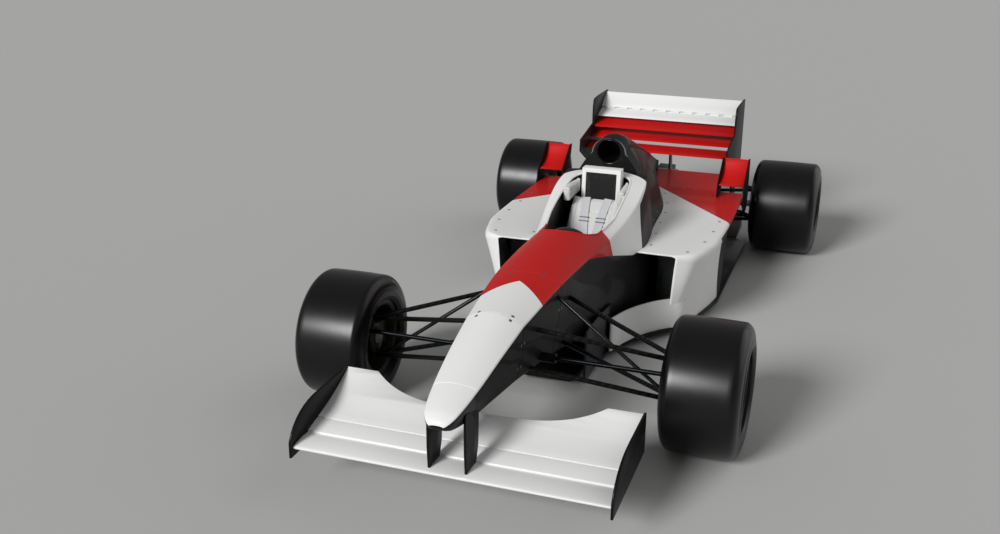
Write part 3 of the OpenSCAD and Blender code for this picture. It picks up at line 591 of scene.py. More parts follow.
def hull_ring(rows, y, inset=0.0):
    """Ring of the nose or tub at y: the flat bottom, the flanks, a tight shoulder and the crowned top."""
    wb, zb, wm, zm, ws, zs, zt = (through(rows, y, k) for k in range(1, 8))
    zb = max(zb, FLOOR_TOP)
    if y > WAIST[0][0]:
        wm = through(WAIST, y, 1)
    wb, wm, ws, zs, zt, zb = wb - inset, wm - inset, ws - inset, zs - inset * 0.5, zt - inset, zb + inset
    r = min(0.22 * wb, 0.4 * (zm - zb))
    lean = (wb + (wm - wb) * r / (zm - zb), zb + r)

    def crowned(reach):
        """The crowned top from reach in to the middle."""
        across = [reach * math.cos(a) for a in spread(0, math.pi / 2, TOP_STEPS)]
        return [(x, zs + (zt - zs) * (1 - (x / ws) ** 2)) for x in across]

    rounded = corner((wm, zm), (ws, zs), crowned(ws)[3], min(SHOULDER_R, 0.2 * ws))
    half = (
        line((0, zb), (wb - r, zb), 4)
        + bezier((wb - r, zb), (wb, zb), lean, 8)[1:]
        + line(lean, (wm, zm), 9)[1:]
        + line((wm, zm), rounded[0], 7)[1:]
        + rounded[1:]
        + crowned(rounded[-1][0])[1:]
    )
    return closed_ring(half, y)


def hull_piece(name, rows, stations, materials, insets=None):
    """A closed length of the hull: material 0 above the shoulders and 1 below them."""
    insets = insets or [0.0] * len(stations)
    rings = [hull_ring(rows, y, inset) for y, inset in zip(stations, insets)]
    points, faces = loft(rings)
    count = len(rings[0])
    slots = [1 if min(i, count - 1 - i) < FLANK_POINTS else 0 for _ in stations[1:] for i in range(count)]
    return piece(name, points, faces, materials, slots=slots + [1, 1])


def edged(stations, first_round, last_round, radius=2.5):
    """Adds a ring just inside each end, so that the panel's edge is rounded by the radius."""
    insets = [0.0] * len(stations)
    if first_round:
        stations, insets = [stations[0], stations[0] + radius] + stations[1:], [radius, 0.0] + insets[1:]
    if last_round:
        stations, insets = stations[:-1] + [stations[-1] - radius, stations[-1]], insets[:-1] + [0.0, radius]
    return stations, insets


CHEVRON = past("y", "side", 0.832, behind_front(-40))
TOP_WHITE_BACK = past("y", "z", 0.0, behind_front(828))
# Painted shade: black on the lower flanks of the nose and tub, below a line that rises towards the nose, for
# the shade on sides turned from the key light.
LOW_FLANK_PAINTED_SHADE = no(past("z", "y", 0.266, 773 + 0.266 * FRONT_Y))
FRONT_FLANK = no(TOP_WHITE_BACK)
# Painted shade: black on the tub behind two raked lines, where its rear corner turns from the key light,
# running on from the black engine cover.
RAKED_PAINTED_SHADE = both(past("y", "z", -0.59, behind_front(822)), past("y", "z", -2.7, behind_front(-677)))
# Painted shade: black on the flanks and underside below deck height.
BELOW_DECK_PAINTED_SHADE = no(past("z", "y", 0.0, 505))

# The top is white with a red chevron, and black painted shade at the rear corner.
TOP_PAINT_AND_SHADE = lacquer("lacquer_top_with_painted_shade", WHITE, [(RED, both(CHEVRON, no(TOP_WHITE_BACK))), (BLACK, RAKED_PAINTED_SHADE)])
# The flanks are white, red ahead of the cockpit, with black painted shade low down, below the deck and at the
# rear corner.
FLANK_PAINT_AND_SHADE = lacquer(
    "lacquer_flank_with_painted_shade",
    WHITE,
    [(RED, FRONT_FLANK), (BLACK, LOW_FLANK_PAINTED_SHADE), (BLACK, BELOW_DECK_PAINTED_SHADE), (BLACK, RAKED_PAINTED_SHADE)],
)

COCKPIT_Y = behind_front(590)
COCKPIT_HALF_W = 172
COCKPIT_BACK = COCKPIT_Y + 860
SEAT_FLOOR = FLOOR_TOP + 45
FOOTWELL_Z = 372


def cockpit_edge():
    """Plan of the opening from the front centre round the left side to the back."""
    w = COCKPIT_HALF_W
    a = bezier((0, COCKPIT_Y), (0.78 * w, COCKPIT_Y + 20), (0.84 * w, COCKPIT_Y + 220), 24)
    b = bezier((w, COCKPIT_Y + 400), (w + 4, COCKPIT_Y + 560), (w, COCKPIT_BACK - 160), 12)
    c = bezier((w - 4, COCKPIT_BACK - 120), (w - 12, COCKPIT_BACK), (0.5 * w, COCKPIT_BACK), 16)
    return a + b + c


def cockpit_plan():
    """Plan of the whole opening, round both sides."""
    left = cockpit_edge()
    return left + [(-x, y) for x, y in left[:0:-1]]


def prism(name, plan, z0, z1, material):
    """An upright cutter that fills the plan from z0 to z1."""
    rings = [[(x, y, z) for x, y in plan] for z in (z0, z1)]
    return piece(name, *loft(rings), material, body=None)


def tub_top(x, y):
    """Height of the tub's crowned top."""
    ws, zs, zt = (through(TUB, y, k) for k in (5, 6, 7))
    return zs + (zt - zs) * (1 - min(abs(x) / ws, 1.0) ** 2)


def make_nose():
    """The blunt tip and the nose cone behind it, with an open seam between them."""
    round_steps = 7
    tip = [NOSE_TIP + 16 * (1 - math.cos(a)) for a in spread(0, math.pi / 2, round_steps)]
    tip_inset = [13 * (1 - math.sin(a)) for a in spread(0, math.pi / 2, round_steps)]
    front = tip + spread(tip[-1] + 8, TIP_SEAM - 1.5, 14)
    insets = tip_inset + [0.0] * 15
    hull_tip = hull_piece("nose_tip", NOSE, front + [TIP_SEAM], [TOP_PAINT_AND_SHADE, FLANK_PAINT_AND_SHADE], insets + [1.5])
    stations, insets = edged(spread(TIP_SEAM + 0.3, NOSE_JOINT - 1, 40), True, True, 1.5)
    body = hull_piece("nose_cone_skin", NOSE, stations, [TOP_PAINT_AND_SHADE, FLANK_PAINT_AND_SHADE], insets)
    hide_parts("nose_cone")


def make_tub():
    """The hatch over the legs, the tub with its cockpit cut out, its back and the cockpit rim."""
    stations, insets = edged(spread(NOSE_JOINT + 1, HATCH_END - 1, 28), True, True, 1.5)
    front = hull_piece("tub_front_hatch", TUB, stations, [TOP_PAINT_AND_SHADE, FLANK_PAINT_AND_SHADE], insets)
    stations, insets = edged(spread(HATCH_END + 0.3, TUB_END, 110), True, True, 1.5)
    tub = hull_piece("tub", TUB, stations, [TOP_PAINT_AND_SHADE, FLANK_PAINT_AND_SHADE], insets)
    plan = cockpit_plan()
    well = [(x, y) for x, y in plan if y >= COCKPIT_Y + 250]
    cut(
        tub,
        prism("cockpit_cut", plan, FOOTWELL_Z, 1000, CARBON_SIDE),
        prism("well_cut", well, SEAT_FLOOR, 400, CARBON_SIDE),
    )
    legs = box_shape((-104, behind_front(120), FOOTWELL_Z + 0.5), (104, COCKPIT_Y + 80, 608), 20)
    cut(tub, piece("leg_cut", *legs, CARBON_SIDE, body=None))
    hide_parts("monocoque")
    bulkhead = box_shape((-264, behind_front(1505), FLOOR_TOP + 1), (264, behind_front(1748), 462), 12)
    back = piece("tub_back", *bulkhead, CARBON_SIDE)
    rim_path = [(x, y, tub_top(x, y) - 2) for x, y in plan]
    rim = piece("cockpit_rim", *tube(rim_path, 5.5, 10, closed=True), TOP_PAINT_AND_SHADE)


make_nose()
make_tub()


# ---- Engine cover ----

# y, spine height, half width of the top
COVER = [
    (TUB_END, 992, 92), (behind_front(1660), 990, 90), (behind_rear(-980), 900, 60),
    (behind_rear(-712), 806, 34), (behind_rear(-400), 690, 20), (behind_rear(-60), 556, 7),
    (DECK_END_Y, 530, 5),
]  # fmt: skip
INTAKE_Z = 915
INTAKE_R = 62
INTAKE_DEPTH = 214
COVER_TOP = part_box("engine_cover")[1].z / MM


def cover_half(y, inset=0.0):
    """Left half of the engine cover at y, from its underside up to the spine."""
    w = through(WAIST, y, 1) - 1 - inset
    zt = min(through(COVER, y, 1), COVER_TOP) - inset
    wt = min(through(COVER, y, 2), w)
    z0 = deck(y)
    h = zt - z0
    shoulder = zt - min(0.9 * wt, 0.5 * h)
    flank = bezier((w, z0), (0.62 * w + 0.38 * wt, z0 + 0.62 * h), (wt, shoulder), 22)
    top = [(wt * math.cos(a), shoulder + (zt - shoulder) * math.sin(a)) for a in spread(0, math.pi / 2, 16)]
    return line((0, z0 - 9), (w, z0 - 9), 4) + flank + top[1:]


def make_engine_cover():
    """The cover with the bore of its intake and a lip round the mouth."""
    stations, insets = edged(spread(COVER_Y, DECK_END_Y, 110), True, False, 4)
    stations[1:1] = [COVER_Y + 1.2]
    insets[0:1] = [4.0, 1.4]
    rings = [closed_ring(cover_half(y, inset), y) for y, inset in zip(stations, insets)]
    cover = piece("engine_cover_skin", *loft(rings), PAINT_BLACK)
    flare = [(COVER_Y - 2, INTAKE_R + 9)] + [
        (COVER_Y + 9 - 9 * math.cos(a), INTAKE_R + 9 - 9 * math.sin(a)) for a in spread(0, math.pi / 2, 5)
    ]
    tunnel = flare + [(COVER_Y + INTAKE_DEPTH, INTAKE_R - 16)]
    turns = [2 * math.pi * k / 64 for k in range(64)]
    bore = loft([[(r * math.cos(a), y, INTAKE_Z + r * math.sin(a)) for a in turns] for y, r in tunnel])
    cut(cover, piece("intake_bore", *bore, CARBON_SIDE, body=None))
    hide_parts("engine_cover")
    lip_y = COVER_Y + 8
    lip = [(x, lip_y, z) for x, z in cover_half(lip_y, 7.5) if z > INTAKE_Z - 30]
    lip = lip + [(-x, y, z) for x, y, z in lip[-2::-1]]
    # The lip is grey: white lacquer with its shade painted in.
    hood = piece("intake_lip", *tube(lip, 7.5, 12), PAINT_GREY_AS_SHADE)


# ---- Sidepods ----

# y, outer half width of the deck, rounding of its edge, wall half width at the top and at the floor
POD = [
    (behind_front(1060), 500, 26, 498, 470), (behind_front(1108), 572, 34, 570, 474),
    (behind_front(1190), 612, 38, 610, 484), (behind_front(1297), 638, 38, 636, 521),
    (behind_front(1417), 660, 34, 657, 566), (behind_front(1774), 665, 24, 655, 628),
    (behind_rear(-960), 662, 16, 600, 600), (behind_rear(-700), 656, 10, 470, 470),
    (behind_rear(-447), 656, 8, 330, 330),
]  # fmt: skip
TAIL_W = 475
POD_TAIL = [(behind_rear(-447), TAIL_W, 8, 330, 330), (behind_rear(-240), TAIL_W, 8, 250, 250)]
PANEL_T = 9
POD_GAP = 1.5
# The undercut wall takes over from the flank ahead of and below this corner
CORNER_Y = behind_front(1196)
CORNER_Z = 235.4


def pod_ring(rows, y, thin=0.0):
    """Ring of the bent panel that is the pod's flank and deck; thin takes a rounding off both faces."""
    xo, c, xw, xf = (through(rows, y, k) for k in range(1, 5))
    z, xi, p = deck(y), through(WAIST, y, 1) + POD_GAP, PANEL_T
    outer = line((xf, FLOOR_TOP + 0.4), (xw, z - c - p), 10)
    outer += line((xw, z - c - p), (xo - 1, z - c - 0.6 * p), 4)[1:]
    outer += bezier((xo, z - c), (xo, z - 0.35 * c), (xo - 0.45 * c, z - 0.12 * c), 5)
    outer += bezier((xo - 0.45 * c, z - 0.12 * c), (xo - 0.7 * c, z), (xo - 1.4 * c, z), 5)[1:]
    outer += line((xo - 1.4 * c, z), (xi, z), 14)[1:]
    wall = line((xf - p, FLOOR_TOP + 0.4), (xw - p - 1, z - p - 0.2 * c), 15)
    under = line((xw - p - 1, z - p - 0.2 * c), (min(xo - 1.4 * c, xw - p - 2), z - p), 7)[1:]
    inner = wall + under + line(under[-1], (xi, z - p), len(outer) - len(wall) - len(under))[1:]
    inner = inner[: len(outer)] + [inner[-1]] * (len(outer) - len(inner))
    pairs = []
    for a, b in zip(outer, inner):
        a, b = np.array(a), np.array(b)
        away = (a - b) / max(np.linalg.norm(a - b), 1e-6) * thin
        pairs.append((tuple(a - away), tuple(b + away)))
    return [a for a, b in pairs] + [b for a, b in pairs[::-1]]


def pod_skin(rows, stations, thins):
    """The bent panel through rings at the stations."""
    return loft([[(x, y, z) for x, z in pod_ring(rows, y, thin)] for y, thin in zip(stations, thins)])


DECK_RED = past("y", "side", 1.239, FRONT_Y + 2597)
# Painted shade: black on the pod's rear flank, behind a raked line and below the deck, where the flank turns
# from the key light.
POD_FLANK_PAINTED_SHADE = both(past("y", "z", 0.55, FRONT_Y + 1600 + 0.55 * 300), no(past("z", "y", 0.02122, 493)))
# White pods, red behind a raked line, and black painted shade on the rear flank.
POD_PAINT_AND_SHADE = lacquer("lacquer_pod_with_painted_shade", WHITE, [(RED, DECK_RED), (BLACK, POD_FLANK_PAINTED_SHADE)])


def make_sidepod(side):
    """One side: flank and deck, the deck panel behind it and the plate at the tail."""
    front_round = [1.0 - math.cos(a) for a in spread(0, math.pi / 2, 4)]
    thins = [3.6 * (1 - math.sin(a)) for a in spread(0, math.pi / 2, 4)]
    y0, y1 = POD[0][0], POD[-1][0]
    stations = [y0 + 4 * u for u in front_round] + spread(y0 + 12, y1, 90)
    main = pod_skin(POD, stations, thins + [0.0] * 91)
    tail = pod_skin(POD_TAIL, spread(y1 + 0.5, POD_TAIL[1][0], 16), [0.0] * 17)
    plate = []
    for y in spread(POD_TAIL[1][0] + 0.5, DECK_END_Y, 30):
        z, xi = deck(y), through(WAIST, y, 1) + POD_GAP
        edge = TAIL_W - 2
        plate.append([(TAIL_W, y, z - PANEL_T), (TAIL_W, y, z - 2), (edge, y, z)])
        plate[-1] += [(xi + (edge - xi) * u, y, z) for u in (0.66, 0.33, 0)] + [(xi, y, z - PANEL_T)]
    shape = joined(main, tail, loft(plate))
    low_corner = box_shape((380, y0 - 20, FLOOR_TOP - 20), (700, CORNER_Y, CORNER_Z))
    if side == "right":
        shape, low_corner = mirrored(shape), mirrored(low_corner)
    pod = piece("sidepod_skin_" + side, *shape, POD_PAINT_AND_SHADE)
    cut(pod, piece("pod_corner", *low_corner, POD_PAINT_AND_SHADE, body=None))
    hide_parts("sidepod_" + side)


# ---- Wheels ----


def tyre_profile(radius, width):
    """Half section of a slick from the bead to the middle of the tread: (radius, x), outward side."""
    half_w = width / 2
    seat_x = half_w - 20
    ribs = []
    low, high = 194, radius - 66
    for i in range(34):
        u = i / 33
        r = low + (high - low) * u
        bulge = half_w - 7 + 7 * math.sin(math.pi * (0.12 + 0.76 * u))
        rib = 1.6 * sum(math.exp(-(((r - at) / 1.6) ** 2)) for at in (low + 7, low + 11, high - 8, high - 12))
        ribs.append((r, min(bulge + rib, half_w)))
    turns = spread(0, math.radians(86), 14)
    shoulder = [(high + 64 * math.sin(a), ribs[-1][1] - 44 + 44 * math.cos(a)) for a in turns]
    tread = [(radius - 2.0 * (1 - u) ** 2, shoulder[-1][1] * (1 - u)) for u in spread(0.12, 1, 8)]
    bead = [(168.5, seat_x - 14), (168.5, seat_x - 3), (184.5, seat_x - 2)]
    bead += [(185.5, seat_x + 8), (190, half_w - 8)]
    return bead + ribs + shoulder[1:] + tread


def make_tyre(corner_name, radius, width):
    """A slick that rolls with its wheel."""
    centre = WHEELS[corner_name] / MM
    half = tyre_profile(radius, width)
    profile = half + [(r, -x) for r, x in half[-2::-1]]
    tyre = piece("tyre_" + corner_name, *revolve(profile, centre, 128), RUBBER, body="wheel_" + corner_name)
    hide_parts(corner_name.replace("_", "_tyre_"))


def spoke(turn, face, barrel_r):
    """One spoke: a waisted bar with a raised middle rib, from the hub boss out to the barrel."""
    rings = []
    for u in spread(0, 1, 12):
        r = 50 + (barrel_r + 2 - 50) * u
        half = 15 - 9 * math.sin(math.pi * min(u * 1.15, 1)) ** 0.8 + 10 * max(u - 0.8, 0) / 0.2
        top = face - 7 * u + 2
        back = face - 19 + 4 * u
        ring = [(-half, back), (-half, top - 5), (-half * 0.55, top), (0, top + 1.2), (half * 0.55, top)]
        ring += [(half, top - 5), (half, back), (0, back - 1)]
        rings.append([(x, r, t) for t, x in ring])
    points, faces = loft(rings)
    cos, sin = math.cos(turn), math.sin(turn)
    return [(x, y * cos - z * sin, y * sin + z * cos) for x, y, z in points], faces


def make_rim(corner_name, width):
    """Cast one-piece wheel: barrel with flanges and a drop centre, eight spokes, hub boss, pegs and nut."""
    centre = WHEELS[corner_name] / MM
    side = 1 if centre[0] > 0 else -1

    def outward(*shapes):
        """The shapes as one, with their x turned away from the middle of the car."""
        points, faces = joined(*shapes)
        return [(side * x, y, z) for x, y, z in points], faces

    half = width / 2
    flange = [(160, half - 1), (163, half), (180, half), (182, half - 2), (182, half - 7), (178, half - 8.5)]
    flange += [(170, half - 12), (168, half - 16), (168, half - 48), (163, half - 60)]
    outer = flange + [(r, -x) for r, x in flange[::-1]]
    bore = [(159.2, -half + 2), (157, -half + 12), (157, half - 12), (159.2, half - 2)]
    barrel = revolve(outer + bore, (0, 0, 0), 96)
    face = 42
    boss_section = [(20, -26), (66, -26), (68, -18), (64, -4), (60, 0), (38, 1), (36, 3), (20, 3)]
    boss = revolve([(r, face + x) for r, x in boss_section], (0, 0, 0), 64)
    spokes = [spoke(math.tau * k / 8, face, 157) for k in range(8)]
    rim_shape = joined(barrel, outward(boss, *spokes))
    place = Matrix.Translation(Vector(centre))
    body = "wheel_" + corner_name
    rim = piece("rim_" + corner_name, *turned(rim_shape, place), MAGNESIUM, body=body)
    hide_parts(corner_name.replace("_", "_rim_"))
    hex_turns = [math.radians(60 * k + 30) for k in range(6)]
    rows = [(face + 2, 34), (face + 24, 34), (face + 27, 31.5)]
    nut = loft([[(x, r * math.cos(a), r * math.sin(a)) for a in hex_turns] for x, r in rows])
    collar = revolve([(12, face + 2), (38, face + 2), (38, face + 7), (12, face + 9)], (0, 0, 0), 48)
    tip = revolve([(2, face + 26), (16, face + 26), (14, face + 29.5), (2, face + 30)], (0, 0, 0), 32)
    pegs = []
    for k in range(6):
        a = math.radians(60 * k)
        y, z = 52 * math.cos(a), 52 * math.sin(a)
        pegs.append(tube([(face - 2, y, z), (face + 5, y, z)], 6, 14))
    metal = outward(nut, collar, tip, *pegs)
    anodised = NUT_RED if side > 0 else NUT_BLUE
    nuts = piece("wheel_nut_" + corner_name, *turned(metal, place), anodised, body=body)


make_engine_cover()
for side_name in ("left", "right"):
    make_sidepod(side_name)
RIM_W = {"front": 300, "rear": 366}
for corner_name in WHEELS:
    low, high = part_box(corner_name.replace("_", "_tyre_"))
    make_tyre(corner_name, (high.z - low.z) / 2 / MM, (high.x - low.x) / MM)
    make_rim(corner_name, RIM_W[corner_name.split("_")[0]])


# ---- Parts that keep their CAD shape ----

ALUMINIUM = cast_magnesium("cast_aluminium", "#a3a5a6")
DISC_CARBON = moulded_plastic("carbon_carbon", "#1e1e20", 0.7)
PALE_CLOTH = woven_cloth("pale_cloth", "#dcdcda", 2.4, 0.86)
BLACK_CLOTH = woven_cloth("black_cloth", "#101012", 2.0)
FINISH = {
    "body_white": PAINT_WHITE,
    "wing_white": PAINT_WHITE,
    "body_red": PAINT_RED,
    "body_black": PAINT_BLACK,
    "carbon": CARBON_FLAT,
    "tyre": RUBBER,
    "rim": MAGNESIUM,
    "steel": STEEL,
    "alloy": ALUMINIUM,
    "disc": DISC_CARBON,
    "seat": PALE_CLOTH,
    "pad": BLACK_CLOTH,
}
UPRIGHT_CARBON = ("bargeboards", "rear_wing_pylons", "rear_crash_structure", "dashboard")

for row in frame["record"]["subparts"]:
    node = row["node"]
    thing = NODES[node]
    finish = CARBON_SIDE if node in UPRIGHT_CARBON else FINISH[row["material_slot"]]
    thing.data.materials.clear()
    thing.data.materials.append(finish)
    thing.data.polygons.foreach_set("use_smooth", [True] * len(thing.data.polygons))
    weld = thing.modifiers.new("weld", "WELD")
    weld.merge_threshold = 0.00002
    if "hub" in node or "upright" in node:
        thing.data.set_sharp_from_angle(angle=math.radians(32))
        continue
    bevel = thing.modifiers.new("edges", "BEVEL")
    bevel.width = 0.0012
    bevel.segments = 2
    bevel.angle_limit = math.radians(32)
    bevel.harden_normals = True


# ---- Padded pieces ----

FRAME_Y = behind_front(1354)


def swell(thing, front, cap_mm, voxel_mm=5.0):
    """Blows a pad up by cloth simulation; only skin that faces front may move, up to the cap."""
    remesh = thing.modifiers.new("remesh", "REMESH")
    remesh.mode = "VOXEL"
    remesh.voxel_size = voxel_mm * MM
    bake(thing)
    rest = coordinates_of(thing.data)
    normals = np.array([v.normal for v in thing.data.vertices])
    cloth = thing.modifiers.new("cloth", "CLOTH")
    cloth.settings.use_pressure = True
    cloth.settings.uniform_pressure_force = 4
    cloth.settings.effector_weights.gravity = 0
    cloth.settings.quality = 4
    cloth.settings.tension_stiffness = 12
    cloth.settings.compression_stiffness = 12
    cloth.settings.bending_stiffness = 0.4
    for step in range(1, 21):
        bpy.context.scene.frame_set(step)
    depsgraph = bpy.context.evaluated_depsgraph_get()
    moved = coordinates_of(thing.evaluated_get(depsgraph).data)
    thing.modifiers.clear()
    bpy.context.scene.frame_set(1)
    move = moved - rest
    length = np.linalg.norm(move, axis=1, keepdims=True)
    move *= np.minimum(1, cap_mm * MM / np.maximum(length, 1e-9))
    free = np.clip(normals @ np.array(front) * 1.4 + 0.35, 0, 1)[:, None]
    thing.data.vertices.foreach_set("co", (rest + move * free).ravel())
    smooth = thing.modifiers.new("smooth", "SMOOTH")
    smooth.iterations = 3
    bake(thing)
    subdivision = thing.modifiers.new("subdivision", "SUBSURF")
    subdivision.levels = subdivision.render_levels = 1
    bake(thing)


def coordinates_of(mesh):
    """The mesh's points as rows of x, y and z."""
    values = np.empty(len(mesh.vertices) * 3)
    mesh.vertices.foreach_get("co", values)
    return values.reshape(-1, 3)


def sew(thing, distance_to_seam, depth_mm, width_mm):
    """Presses a sewn channel into the skin where distance_to_seam, in millimetres, is near nought."""
    mesh = thing.data
    points = coordinates_of(mesh)
    normals = np.array([v.normal for v in mesh.vertices])
    near = np.exp(-((distance_to_seam(points / MM) / width_mm) ** 2))[:, None]
    mesh.vertices.foreach_set("co", (points - normals * near * depth_mm * MM).ravel())
    mesh.update()


def smooth_path(points, count, rounds):
    """Resamples a path to count points and eases its bends, a little each round."""
    points = np.array(points, float)
    steps = np.concatenate([[0], np.cumsum(np.linalg.norm(np.diff(points, axis=0), axis=1))])
    at = np.linspace(0, steps[-1], count)
    path = np.stack([np.interp(at, steps, points[:, k]) for k in range(points.shape[1])], axis=1)
    for _ in range(rounds):
        path[1:-1] = (path[:-2] + 2 * path[1:-1] + path[2:]) / 4
    return path


# Middle line of the seat's front face, from the front edge of the pan to the shoulders: distance behind
# the front axle and height
SEAT_POINTS = ((922, 186), (1010, 161), (1070, 239), (1150, 499), (1250, 629), (1332, 686))
SEAT_LINE = smooth_path([(behind_front(d), z) for d, z in SEAT_POINTS], 121, 40)
SEAT_HALF_W = 144
# Seams of the seat pad: rows across it, this far apart, and one up each side
SEAM_PITCH = 86
SIDE_SEAM_X = 98
# The headrest pads reach from this distance beside the middle out to the cockpit's edge
HEADREST_INNER_X = 129
HEADREST_LOW = 704
HEADREST_TOP = 780
# The harness is placed by point numbers along SEAT_LINE
LAP_POINT = 64
BELT_START = 66
BELT_END = 118
ADJUSTER_POINT = 96
BELT_W = 46


def seat_normals():
    """The direction out of the seat's face, as (y, z), at each point of its line."""
    run = np.gradient(SEAT_LINE, axis=0)
    run /= np.linalg.norm(run, axis=1, keepdims=True)
    return np.stack([-run[:, 1], run[:, 0]], axis=1)


def bolster(x):
    """How far the seat's side bolsters stand forward of its middle."""
    return 16 * abs(x / SEAT_HALF_W) ** 3


def make_seat():
    """The carbon shell and the quilted pad on its front."""
    normals = seat_normals()
    back_y = behind_front(1347)
    back = [(back_y, 688), (back_y, SEAT_FLOOR + 1), (behind_front(921), SEAT_FLOOR + 1)]
    outline = [tuple(p) for p in SEAT_LINE - normals * 2] + back
    rings = [[(x, y, z) for y, z in outline] for x in (-SEAT_HALF_W, SEAT_HALF_W)]
    shell = piece("seat_shell", *loft(rings), CARBON_SIDE)
    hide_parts("seat")
    thick = 17
    rings = []
    for x in spread(-SEAT_HALF_W + 4, SEAT_HALF_W - 4, 40):
        edge = 1 - abs(x / (SEAT_HALF_W - 4)) ** 10
        front = SEAT_LINE + normals * (1 + thick * (0.35 + 0.65 * edge) + bolster(x))
        section = [*front, *(SEAT_LINE - normals * 1.5)[::-1]]
        rings.append([(x, y, z) for y, z in section])
    pad = piece("seat_pad", *loft(rings), PALE_CLOTH)
    swell(pad, (0, -0.75, 0.66), 9, 6.0)
    run = np.concatenate([[0], np.cumsum(np.linalg.norm(np.diff(SEAT_LINE, axis=0), axis=1))])

    def to_seam(points):
        nearest = np.argmin(((points[:, None, 1:] - SEAT_LINE[None, ::2]) ** 2).sum(axis=2), axis=1) * 2
        along = run[nearest]
        rows = np.abs((along + 30) % SEAM_PITCH - SEAM_PITCH / 2)
        from_middle = np.abs(points[:, 0])
        sides = np.abs(from_middle - SIDE_SEAM_X)
        return np.where(from_middle < SIDE_SEAM_X, np.minimum(rows, sides), sides)

    sew(pad, to_seam, 4.5, 4.0)


def edge_x(y):
    """Half width of the cockpit opening at y."""
    left = sorted((p[1], p[0]) for p in cockpit_edge() if p[1] > behind_front(900))
    return float(np.interp(y, [p[0] for p in left], [p[1] for p in left]))


def make_headrest(side):
    """The pad between the driver's helmet and one side of the cockpit."""
    rings = []
    for y in spread(behind_front(1204), behind_front(1444), 30):
        outer = min(edge_x(y) - 5, 168)
        if outer < 140:
            break
        loop = rounded_box(HEADREST_INNER_X, outer, HEADREST_LOW, HEADREST_TOP, (10, 10, 14, 16))
        rings.append([(side * x, y, z) for x, z in loop])
    pad = piece("headrest_pad_" + ("left" if side > 0 else "right"), *loft(rings), PALE_CLOTH)
    swell(pad, (-side * 0.6, -0.4, 0.7), 6, 4.0)
    sew(pad, lambda p: np.abs(p[:, 2] - (HEADREST_TOP - 20)), 1.6, 2.5)
    return pad


def make_head_pad():
    """The cushion on the frame behind the helmet."""
    low, high = (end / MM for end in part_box("head_pad"))
    x1, z0, z1 = high.x - 1, low.z + 1, high.z - 1
    rings = []
    for y, inset in ((FRAME_Y + 8, 10), (FRAME_Y + 10, 4), (FRAME_Y + 16, 0.5), (FRAME_Y + 56, 0.5)):
        a, b, c, d = -x1 + inset, x1 - inset, z0 + inset, z1 - inset
        loop = rounded_box(a, b, c, d, (14, 14, 20, 20))
        rings.append([(x, y, z) for x, z in loop])
    pad = piece("head_pad_cushion", *loft(rings), BLACK_CLOTH)
    swell(pad, (0, -1, 0), 7, 4.0)
    sew(pad, lambda p: np.abs(p[:, 2] - (z0 + z1) / 2), 2.0, 2.5)
    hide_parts("head_pad")


def ribbon(path, normals, width, thick=2.2):
    """Flat webbing along a path; normals point out of its face. Its edges are a little thicker, as woven."""
    path, normals = np.array(path, float), np.array(normals, float)
    run = np.gradient(path, axis=0)
    half = [(0.40, 0.85), (0.47, 1.1), (0.5, 0.3), (0.47, 0)]
    section = [(-u, v) for u, v in half[2::-1]] + half + [(-0.47, 0)]
    rings = []
    for p, n, t in zip(path, normals, run):
        n = n / np.linalg.norm(n)
        side = np.cross(t / np.linalg.norm(t), n)
        rings.append([tuple(p + side * u * width + n * v * thick) for u, v in section])
    return loft(rings)


def make_harness():
    """Two shoulder belts and two lap belts, with their buckle and adjusters."""
    normals = seat_normals()
    lift = 31

    def belt_x(k):
        """Distance of a shoulder belt from the middle of the seat, at point k of the seat's line."""
        return 16 + 46 * ((k - BELT_START) / (BELT_END - BELT_START)) ** 0.8

    belts = []
    for side in (1, -1):
        path, face = [], []
        for k in range(BELT_START, BELT_END + 1):
            y, z = SEAT_LINE[k] + normals[k] * lift
            path.append((side * belt_x(k), y, z))
            face.append((0, *normals[k]))
        belts.append(ribbon(path, face, BELT_W))
        path, face = [], []
        for k in range(24):
            u = k / 23
            y, z = SEAT_LINE[LAP_POINT] + normals[LAP_POINT] * (lift - 4 - 10 * u)
            path.append((side * (22 + 108 * u), y + 34 * u * u, z - 70 * u))
            face.append((side * 0.25 * u, *normals[LAP_POINT]))
        belts.append(ribbon(path, face, BELT_W))
    straps = piece("harness", *joined(*belts), WEBBING)
    k = LAP_POINT - 1
    y, z = SEAT_LINE[k] + normals[k] * (lift + 2)
    place = Matrix.Translation((0, y, z)) @ facing((0, *normals[k]))
    parts = [turned(disc(31, 9, 40, 1.5), place), turned(disc(20, 13, 40, 1.0), place)]
    for k in range(4):
        a = math.radians(45 + 90 * k)
        tongue = box_shape((-11, 22, -3), (11, 52, 3), 1.2)
        parts.append(turned(tongue, place @ Matrix.Rotation(a, 4, "Z")))
    k = ADJUSTER_POINT
    for side in (1, -1):
        y, z = SEAT_LINE[k] + normals[k] * (lift + 1)
        at = Matrix.Translation((side * belt_x(k), y, z)) @ facing((0, *normals[k]))
        for bar_y in (-14, 8):
            parts.append(turned(box_shape((-27, bar_y, 0), (27, bar_y + 6, 6), 1.5), at))
    buckle = piece("harness_buckle", *joined(*parts), STEEL)


WEBBING = woven_cloth("webbing", "#cfd0d1", 1.6, 0.8)
make_seat()
pads = [make_headrest(1), make_headrest(-1)]
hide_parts("headrest")
make_head_pad()
make_harness()


# ---- Steering wheel ----

STEERING_AXIS = (0, 0.967972, 0.251059)


